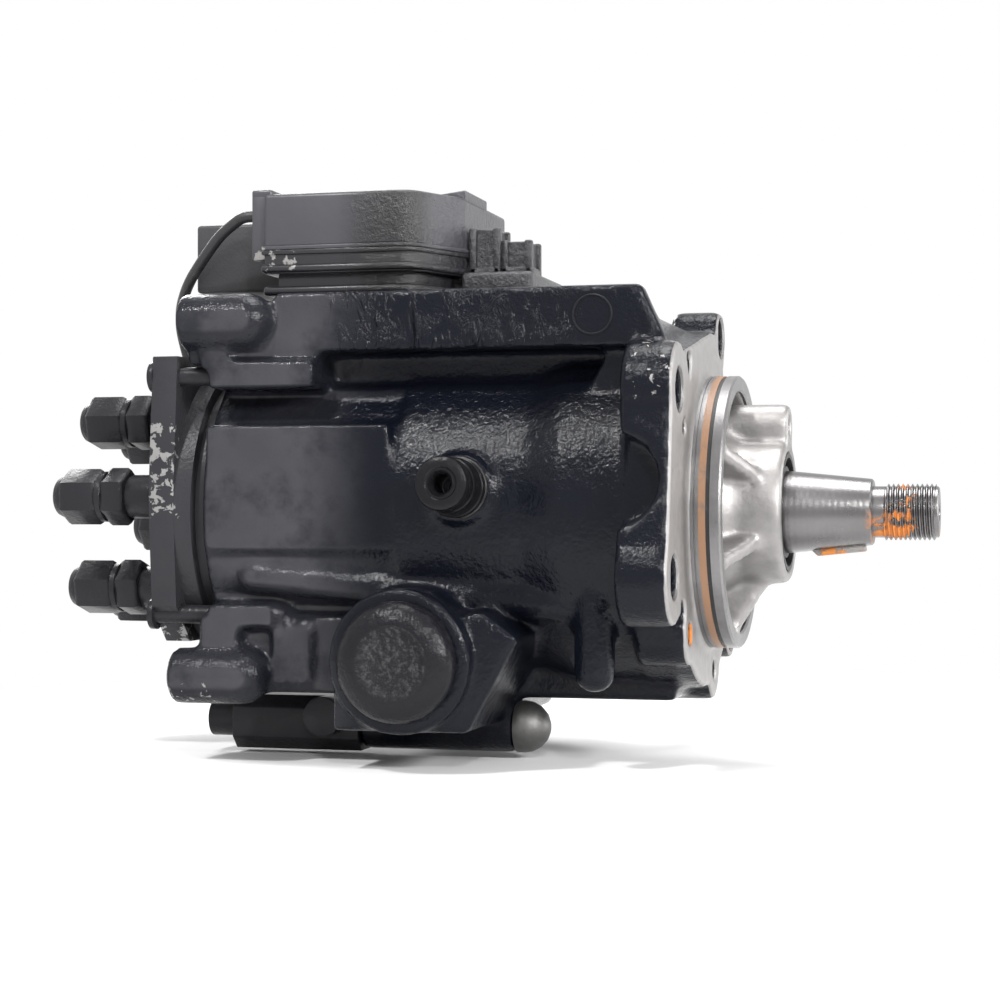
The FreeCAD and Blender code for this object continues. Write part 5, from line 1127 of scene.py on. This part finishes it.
    def disc(self) -> Stock:
        """The raised rim of the round pad on the deck's near side.

        Returns:
            The rim.
        """
        centre = (-28.1, -48.0, 60.8)
        rim = Stock.lathe([
            (-0.6, 5.7), (0.3, 5.75), (0.6, 5.95), (0.6, 6.15), (0.3, 6.35), (-0.6, 6.4), (-0.6, 5.7)], 64)
        return rim.move(towards(centre, (0, -1, 0)))

    def hole_edges(self) -> Stock:
        """Chamfered liners in the four mounting holes.

        Returns:
            The liners, facing inwards.
        """
        wide, narrow = self.hole + 0.9, self.hole + 0.1
        profile = [(-self.thickness, wide), (-self.thickness + 0.7, narrow), (-0.7, narrow), (-0.02, wide)]
        liners = [Stock.lathe(profile, 48).move(on_circle(self.hole_circle, angle))
                  for angle in self.hole_angles]
        return Stock().join(*liners).inside_out()


@dataclass
class DriveShaft:
    """The tapered shaft with a cut thread, and its key."""

    front: float = 26.7
    journal: float = 13.2
    taper: float = 26.5
    rate: float = 0.1
    undercut: float = 8.2
    undercut_length: float = 4.0
    thread: float = 9.0
    thread_length: float = 16.6
    pitch: float = 1.5
    chamfer: float = 1.0
    steps: int = 64

    def build(self) -> None:
        """Builds the shaft and dresses the key."""
        stock = self.blank().join(self.screw_thread(), self.tongue())
        stock.piece("drive_shaft_dressed", SHAFT_STEEL, "shaft_steel", ["drive_shaft"], Body.ROTOR)
        softened("shaft_key", KEY_STEEL, "shaft_steel", 0.35, 2, Body.ROTOR)

    def blank(self) -> Stock:
        """The turned shaft without its thread.

        Returns:
            The blank.
        """
        cone_end = self.front + self.taper
        cone_radius = self.journal - self.rate * self.taper
        tip = cone_end + self.undercut_length + self.thread_length
        root = self.thread - 0.85
        profile = [
            (-72.0, 0.0), (-72.0, 12.0), (-19.0, 12.0), (-19.0, self.journal), (self.front, self.journal),
            (cone_end - 0.5, cone_radius + 0.05), (cone_end, cone_radius - 0.5), (cone_end, self.undercut),
            (cone_end + self.undercut_length - 0.3, self.undercut), (cone_end + self.undercut_length, root),
            (tip - self.chamfer, root), (tip - 0.3, self.thread - self.chamfer + 0.1),
            (tip, self.thread - self.chamfer - 0.3),
            (tip, 3.0), (tip - 0.6, 2.5), (tip - 6.0, 0.0),
        ]
        return Stock.lathe(profile, 96)

    def screw_thread(self) -> Stock:
        """A helical ridge wound round the shaft's end.

        Returns:
            The thread, cut off square at both ends.
        """
        start = self.front + self.taper + self.undercut_length
        end = start + self.thread_length
        turns = math.ceil(self.thread_length / self.pitch) + 1
        root = self.thread - 0.86
        ridge = [(0.0, root), (0.18, root), (0.66, self.thread), (0.84, self.thread), (1.32, root),
                 (self.pitch, root)]
        stock = Stock.wound([(start - self.pitch + along, radius) for along, radius in ridge],
                            self.steps, turns, self.pitch)
        bmesh.ops.remove_doubles(stock.bm, verts=stock.bm.verts, dist=0.01)
        for at, way in ((start - 0.2, (-1, 0, 0)), (end - self.chamfer, (1, 0, 0))):
            everything = list(stock.bm.verts) + list(stock.bm.edges) + list(stock.bm.faces)
            bmesh.ops.bisect_plane(stock.bm, geom=everything, dist=0.0001, plane_co=(at, 0, 0), plane_no=way,
                                   clear_outer=True)
        bmesh.ops.recalc_face_normals(stock.bm, faces=stock.bm.faces)
        return stock

    def tongue(self) -> Stock:
        """The tongue that drives the rotor."""
        return Stock.block((-76.8, -3.0, -9.0), (-71.0, 3.0, 9.0)).soften(0.4, 1)


@dataclass
class DistributorHead:
    """The head's plate and ring, the six fittings with their caps, the bolts and the solenoid."""

    rear: float = -174.3
    circle: float = 32.7
    first_angle: float = 51.0
    corner: float = 9.8
    collar: float = 8.4
    collar_length: float = 4.7
    neck: float = 7.2
    neck_length: float = 9.3
    hexagon_length: float = 8.0
    stem_length: float = 10.0
    bore: float = 2.0
    skirt_from: float = 22.0
    skirt_length: float = 2.0
    grip_length: float = 13.0
    spins: tuple[float, ...] = (4.0, 47.0, 30.0, 43.0, 56.0, 69.0)
    plate_side: float = -50.0
    bulge: float = 3.4

    def build(self) -> None:
        """Builds and dresses the rear end."""
        self.plate().piece("head_plate", HEAD_PAINT, "black_head", ["distributor_head"])
        softened("solenoid_body", FITTING_PAINT, "black_steel", 0.5, 2)
        self.bolts().piece("head_bolts", FITTING_PAINT, "black_steel", ["plate_bolts"])
        holders, caps = Stock(), Stock()
        for number, spin in enumerate(self.spins):
            turn = Matrix.Rotation(math.radians(spin), 4, "X")
            place = on_circle(self.circle, self.first_angle + 60.0 * number) @ turn
            holders.join(self.holder().move(place))
            caps.join(self.cap().move(place))
        holders.piece("fitting_holders", FITTING_PAINT, "black_steel", ["delivery_holders"])
        caps.piece("fitting_caps", FITTING_PAINT, "black_cap", ["delivery_caps"])

    def plate(self) -> Stock:
        """The head with its near edge slightly rounded outwards and its outer edges broken.

        Returns:
            The plate with its ring.
        """
        stock = Stock.of_node("distributor_head")
        side, out = self.plate_side, self.plate_side - 3.0
        back, depth = self.rear - 2.0, 14.0
        for middle, end in ((11.0, 54.0), (-3.0, -46.0)):
            stock.carve(Stock.slab([(back, side - 0.01, middle), (back, side + self.bulge, end),
                                    (back, out, end), (back, out, middle)], (depth, 0, 0)))
        return stock.flat().soften(0.9, 3)

    def bolts(self) -> Stock:
        """The four bolts, their heads turned low.

        Returns:
            The bolts.
        """
        stock = Stock.of_node("plate_bolts")
        for vert in stock.bm.verts:
            if vert.co.x < self.rear - 0.05:
                vert.co.x = self.rear + 0.6 * (vert.co.x - self.rear)
        return stock.flat().soften(0.4, 2)

    def holder(self) -> Stock:
        """One fitting along the axis: collar, neck, hexagon and the stem in its cap.

        Returns:
            The fitting, to be moved to its place on the circle.
        """
        root, stem = 7.0, self.neck - 0.6
        inner_end = self.rear + 18.0
        collar_end = self.rear - self.collar_length
        neck_end = collar_end - self.neck_length
        hexagon_end = neck_end - self.hexagon_length
        stem_end = hexagon_end - self.stem_length
        turned = Stock.lathe([
            (inner_end, self.bore), (inner_end, root), (self.rear, root), (self.rear - 0.02, self.collar),
            (collar_end + 0.5, self.collar), (collar_end, self.collar - 0.5), (collar_end, self.neck),
            (neck_end + 1.0, self.neck), (neck_end, stem), (stem_end, stem), (stem_end, self.bore)], 56)
        return turned.join(self.nut(hexagon_end, neck_end, self.corner))

    def cap(self) -> Stock:
        """One cap along the axis: skirt, hexagon and tapered tip.

        Returns:
            The cap, to be moved to its place on the circle.
        """
        skirt_front = self.rear - self.skirt_from
        skirt_rear = skirt_front - self.skirt_length
        grip_rear = skirt_rear - self.grip_length
        skirt = Stock.lathe([(skirt_front, 6.9), (skirt_front, self.collar - 0.3),
                             (skirt_front - 0.3, self.collar), (skirt_rear, self.collar),
                             (skirt_rear, 6.0)], 56)
        tip = Stock.lathe([(grip_rear + 1.0, 7.6), (grip_rear - 0.4, 7.2), (grip_rear - 2.5, 6.2),
                           (grip_rear - 3.0, 5.6), (grip_rear - 3.0, 0.0)], 56)
        return skirt.join(self.nut(grip_rear, skirt_rear, self.corner - 0.3), tip)

    def nut(self, rear: float, front: float, corner: float) -> Stock:
        """A hexagon with its corners turned off at both ends.

        Args:
            rear: Its rear end.
            front: Its front end.
            corner: Its corner radius.

        Returns:
            The hexagon.
        """
        stock = Stock.prism(6, corner, rear, front)
        long_edges = [edge for edge in stock.bm.edges
                      if abs(edge.verts[0].co.x - edge.verts[1].co.x) > 0.5]
        bmesh.ops.subdivide_edges(stock.bm, edges=long_edges, cuts=2)
        inner = sorted({round(vert.co.x, 3) for vert in stock.bm.verts})
        for vert in stock.bm.verts:
            if abs(vert.co.x - inner[1]) < 0.01:
                vert.co.x = rear + 1.1
            elif abs(vert.co.x - inner[2]) < 0.01:
                vert.co.x = front - 1.1
            else:
                vert.co.y *= 0.9
                vert.co.z *= 0.9
        return stock.soften(0.22, 2, 25.0)


@dataclass
class TimingDevice:
    """The timing covers, the timing valve and the pressure valve's plug."""

    side: float = -67.0
    x: float = -85.0
    z: float = -45.9
    radius: float = 18.8
    depth: float = 8.0
    dish: float = 11.0

    def build(self) -> None:
        """Builds the near cover and dresses the rest."""
        self.cover().piece("near_timing_cover", COVER_PAINT, "black_steel", ["timing_cover_near"])
        softened("timing_cover_far", COVER_PAINT, "black_steel", 0.6, 2)
        softened("timing_valve_body", FITTING_PAINT, "black_steel", 0.9, 3)
        softened("pressure_valve_plug", DULL_ZINC, "bare_zinc", 0.3, 2)

    def cover(self) -> Stock:
        """The near cover with its dished middle.

        Returns:
            The cover.
        """
        back = self.depth
        profile = [
            (back - 1.2, 0.0), (back - 1.1, self.dish - 3.0), (back - 0.8, self.dish - 1.2),
            (back - 0.1, self.dish), (back, self.dish + 0.5), (back - 0.25, self.dish + 1.9),
            (back - 0.8, self.radius - 4.3), (back - 1.8, self.radius - 2.4),
            (back - 3.2, self.radius - 0.9), (back - 5.2, self.radius),
            (0.0, self.radius), (0.0, 15.4), (-8.0, 15.4), (-8.0, 0.0),
        ]
        return Stock.lathe(profile, 96).move(towards((self.x, self.side, self.z), (0, -1, 0)))


@dataclass
class Unions:
    """The return union and the inlet union with their washers."""

    root: Point = (-69.4, -54.566, 7.377)
    way: Point = (0.0, -0.99756, 0.06976)
    radius: float = 8.5
    length: float = 19.0

    def build(self) -> None:
        """Builds the return union and dresses the others."""
        self.return_union().piece("return_union_dressed", UNION_PAINT, "black_steel", ["return_union"])
        softened("inlet_union", FITTING_PAINT, "black_steel", 0.4, 2)
        softened("union_washers", SLOT_FINISHES["washer"], "washer", 0.2, 1)

    def return_union(self) -> Stock:
        """The union with its collars and open bore.

        Returns:
            The union.
        """
        r, length = self.radius, self.length
        profile = [
            (-11.0, 2.0), (-11.0, 7.0), (1.5, 7.0), (1.5, r + 0.6), (1.9, r + 1.0), (4.6, r + 1.0),
            (5.0, r + 0.6), (5.0, r - 0.6), (length * 0.4, r - 0.6), (length * 0.4 + 0.3, r - 0.1),
            (length * 0.4 + 0.6, r),
            (length * 0.58 - 0.5, r), (length * 0.58, r - 0.4), (length * 0.58, r - 1.0),
            (length * 0.7, r - 1.0), (length * 0.7, r - 0.3), (length * 0.7 + 0.4, r), (length - 1.6, r),
            (length - 0.5, r - 0.5),
            (length, r - 1.5), (length, 5.2), (length - 0.5, 4.7), (length - 0.5, 4.1), (length - 0.2, 3.8),
            (length - 1.4, 3.0), (6.0, 3.0), (6.0, 4.1), (-9.0, 4.1), (-9.0, 2.0), (-11.0, 2.0),
        ]
        return Stock.lathe(profile, 72).move(towards(self.root, self.way))


@dataclass
class ControlUnit:
    """The control unit on the deck and its connector."""

    rear: float = -139.9
    front: float = -77.0
    corner: float = -88.7
    near: float = -40.0
    corner_side: float = -15.0
    far: float = 38.0
    foot: float = 70.0
    tray: float = 77.0
    seam: float = 84.8
    top: float = 103.0
    bend: float = 5.5

    def outline(self, inset: float, height: float) -> list[Point]:
        """The unit's plan at a height, with its near corner rounded.

        Args:
            inset: How far inside the tray's edge.
            height: The height above the shaft's axis.

        Returns:
            The plan's corners.
        """
        corner = Vector((self.corner - inset * 0.5, self.near + inset))
        end = Vector((self.front - inset, self.corner_side))
        start = Vector((self.rear + inset, self.near + inset))
        first = corner + (start - corner).normalized() * self.bend
        last = corner + (end - corner).normalized() * self.bend
        steps = 8
        arc = []
        for step in range(steps + 1):
            share = step / steps
            arc.append(first * (1 - share) ** 2 + corner * (2 * share * (1 - share)) + last * share ** 2)
        plan = [start, *arc, end, Vector((self.front - inset, self.far - inset)),
                Vector((self.rear + inset, self.far - inset))]
        return [(point.x, point.y, height) for point in plan]

    def build(self) -> None:
        """Builds the unit's cover and base, and dresses the connector."""
        self.cover().piece("unit_cover", UNIT_LACQUER, "unit_lid", ["control_unit_cover"])
        self.base().piece("unit_base", UNIT_BASE_LACQUER, "unit_casting", ["control_unit_base"])
        softened("connector_housing", CONNECTOR_PLASTIC, "connector_plastic", 1.2, 3)

    def layer(self, inset: float, low: float, high: float, width: float, segments: int = 2) -> Stock:
        """A level slice of the unit with rounded edges.

        Args:
            inset: How far inside the tray's edge.
            low: The height of its underside.
            high: The height of its top.
            width: The width of the rounding.
            segments: The rounding's number of steps.

        Returns:
            The slice.
        """
        return Stock.slab(self.outline(inset, low), (0, 0, high - low)).soften(width, segments, 50.0)

    def cover(self) -> Stock:
        """The lid with rounded corners, a lip, its end plate with a hook, and its raised front.

        Returns:
            The lid.
        """
        lid = self.layer(0.9, self.seam + 0.4, self.top, 1.4, 4)
        lip = self.layer(0.3, self.seam, self.seam + 1.3, 0.4)
        back, edge, inner = self.rear - 3.9, self.near + 2.5, -15.3
        plate = Stock.block((back, edge, self.seam - 3.0), (self.rear + 2.0, inner, self.top)).soften(0.7, 2)
        hook = Stock.block((back, edge, self.top - 1.2), (self.rear + 3.1, inner, self.top + 1.7))
        hook.soften(0.8, 3)
        crest = Stock.slab([
            (self.front - 21.0, 12.0, self.top - 1.0), (self.front - 21.0, 12.0, self.top),
            (self.front - 0.8, 12.0, self.top + 2.5), (self.front - 0.8, 12.0, self.top - 1.0)],
            (0, self.corner_side - 12.0, 0)).soften(0.8, 2)
        return lid.join(lip, plate, hook, crest)

    def base(self) -> Stock:
        """The tray with its bead, its foot and the ear with the two ribbed screw blocks.

        Returns:
            The base.
        """
        tray = self.layer(1.0, self.tray, self.seam, 0.5)
        bead = self.layer(0.0, self.tray + 0.4, self.tray + 3.0, 1.1, 3)
        rim = self.layer(0.2, self.seam - 1.6, self.seam, 0.5)
        foot = self.layer(0.6, self.foot, self.foot + 3.0, 1.2, 3)
        neck = self.layer(4.5, self.foot + 1.0, self.foot + 8.0, 0.6)
        ear = Stock.block((self.front - 1.0, -20.0, self.foot), (self.front + 22.8, 26.0, self.foot + 8.0))
        stock = tray.join(bead, rim, foot, neck, ear.soften(1.5, 3))
        seat = self.foot + 6.0
        tall = ((self.front, -14.0, seat), (self.front + 10.7, 0.0, 93.0))
        short = ((self.front + 10.2, -12.0, seat), (self.front + 20.8, 2.0, 89.0))
        for low, high in (tall, short):
            stock.join(*self.ribbed(low, high))
        return stock

    def ribbed(self, low: Point, high: Point) -> list[Stock]:
        """A screw block with upright ribs at its corners.

        Args:
            low: Its low corner.
            high: Its high corner.

        Returns:
            The core, the ribs and the cap.
        """
        width, recess = 2.6, 1.1
        core = Stock.block((low[0] + recess, low[1] + recess, low[2]),
                           (high[0] - recess, high[1] - recess, high[2] - 0.4))
        parts = [core.soften(0.4, 1)]
        for x, y in product((low[0], high[0] - width), (low[1], high[1] - width)):
            parts.append(Stock.block((x, y, low[2]), (x + width, y + width, high[2])).soften(0.6, 2))
        parts.append(Stock.block((low[0], low[1], low[2]), (high[0], high[1], low[2] + 4.5)).soften(0.8, 2))
        return parts


@dataclass
class Studio:
    """The floor, the soft lamps, the pale background and the camera."""

    floor_height: float = -0.0805
    target: float = -0.0701
    azimuth: float = 14.77
    distance: float = 0.7286
    lens: float = 78.69
    raised: float = 0.012
    dim_light: float = 0.45

    def build(self) -> None:
        """Sets the whole studio up."""
        self.floor()
        self.world()
        self.lamp("key_lamp", (-0.45, -0.75, 0.95), 0.1, 10.0)
        self.lamp("fill_lamp", (0.88, -0.62, 0.40), 0.2, 12.0)
        self.lamp("front_lamp", (0.32, -1.0, 0.52), 0.08, 4.0)
        self.lamp("top_lamp", (0.05, 0.15, 1.1), 0.6, 12.0)
        self.lamp("rear_lamp", (-0.7, 0.8, 0.6), 0.5, 8.0)
        self.lamp("side_lamp", (0.95, 0.45, 0.12), 0.6, 7.5)
        self.camera()
        bpy.context.scene.view_settings.view_transform = "Standard"

    def lamp(self, name: str, at: Point, size: float, power: float) -> None:
        """A soft square lamp aimed at the pump.

        Args:
            name: Its name.
            at: Its place, in metres.
            size: Its side, in metres.
            power: Its power, in watts.
        """
        light = bpy.data.lights.new(name, "AREA")
        light.size = size
        light.energy = power
        item = bpy.data.objects.new(name, light)
        item.location = at
        aim = Vector((self.target, 0.0, 0.0)) - Vector(at)
        item.rotation_euler = aim.to_track_quat("-Z", "Y").to_euler()
        bpy.context.scene.collection.objects.link(item)

    def camera(self) -> None:
        """The camera at the photograph's angle."""
        data = bpy.data.cameras.new("photo_camera")
        data.lens = self.lens
        data.sensor_width = 36.0
        data.shift_y = self.raised
        data.clip_start = 0.01
        item = bpy.data.objects.new("photo_camera", data)
        turn = math.radians(self.azimuth)
        item.location = (self.target + self.distance * math.sin(turn), -self.distance * math.cos(turn), 0.0)
        item.rotation_euler = (math.pi / 2.0, 0.0, turn)
        bpy.context.scene.collection.objects.link(item)
        bpy.context.scene.camera = item

    def floor(self) -> None:
        """A pale floor that keeps the shadow near the pump and fades to white."""
        stock = Stock()
        bmesh.ops.create_grid(stock.bm, x_segments=8, y_segments=8, size=4.0,
                              matrix=Matrix.Translation((0.0, 0.0, self.floor_height)))
        mesh = bpy.data.meshes.new("floor")
        stock.bm.to_mesh(mesh)
        stock.bm.free()
        item = bpy.data.objects.new("floor", mesh)
        graph = Graph("floor_finish")
        tone = graph.noise(9.0, 3.0)
        graph.set(Base_Color=graph.blend(tone, (0.86, 0.86, 0.86), (0.88, 0.88, 0.88)))
        graph.shader.inputs["Roughness"].default_value = 0.8
        length = graph.add("ShaderNodeVectorMath")
        length.operation = "LENGTH"
        graph.tree.links.new(graph.place, length.inputs[0])
        fade = graph.maths("MULTIPLY", graph.band(length.outputs["Value"], 0.16, 0.42), seen_rays(graph.tree))
        glow = graph.add("ShaderNodeEmission")
        mixed = graph.add("ShaderNodeMixShader")
        graph.tree.links.new(fade, mixed.inputs[0])
        graph.tree.links.new(graph.shader.outputs[0], mixed.inputs[1])
        graph.tree.links.new(glow.outputs[0], mixed.inputs[2])
        output = next(node for node in graph.tree.nodes if node.type == "OUTPUT_MATERIAL")
        graph.tree.links.new(mixed.outputs[0], output.inputs["Surface"])
        mesh.materials.append(graph.material)
        bpy.context.scene.collection.objects.link(item)

    def world(self) -> None:
        """A white background that lights the pump only softly."""
        world = bpy.data.worlds.new("studio")
        world.use_nodes = True
        tree = world.node_tree
        background = tree.nodes["Background"]
        background.inputs["Color"].default_value = (1.0, 1.0, 1.0, 1.0)
        strength = tree.nodes.new("ShaderNodeMapRange")
        strength.inputs["To Min"].default_value = self.dim_light
        strength.inputs["To Max"].default_value = 1.0
        tree.links.new(seen_rays(tree), strength.inputs["Value"])
        tree.links.new(strength.outputs[0], background.inputs["Strength"])
        bpy.context.scene.world = world


class Dresser:
    """Gives the CAD's own nodes their finishes."""

    def build(self) -> None:
        """Assigns each slot's finish to its nodes."""
        for entry in FRAME["record"]["subparts"]:
            finish = SLOT_FINISHES[entry["material_slot"]]
            item = FRAME["nodes"][entry["node"]]
            item.data.materials.clear()
            item.data.materials.append(finish.material())
            LOG.info("%s: %s", entry["node"], finish.name)


def main() -> None:
    """Builds the studio and the pump's sub-assemblies in order."""
    logging.basicConfig(level=logging.INFO, format="%(name)s: %(message)s")
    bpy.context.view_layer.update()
    for part in (Studio(), Dresser(), Casting(), DriveShaft(), DistributorHead(), TimingDevice(), Unions(),
                 ControlUnit()):
        LOG.info("%s", type(part).__name__)
        part.build()


if __name__ == "__main__":
    main()
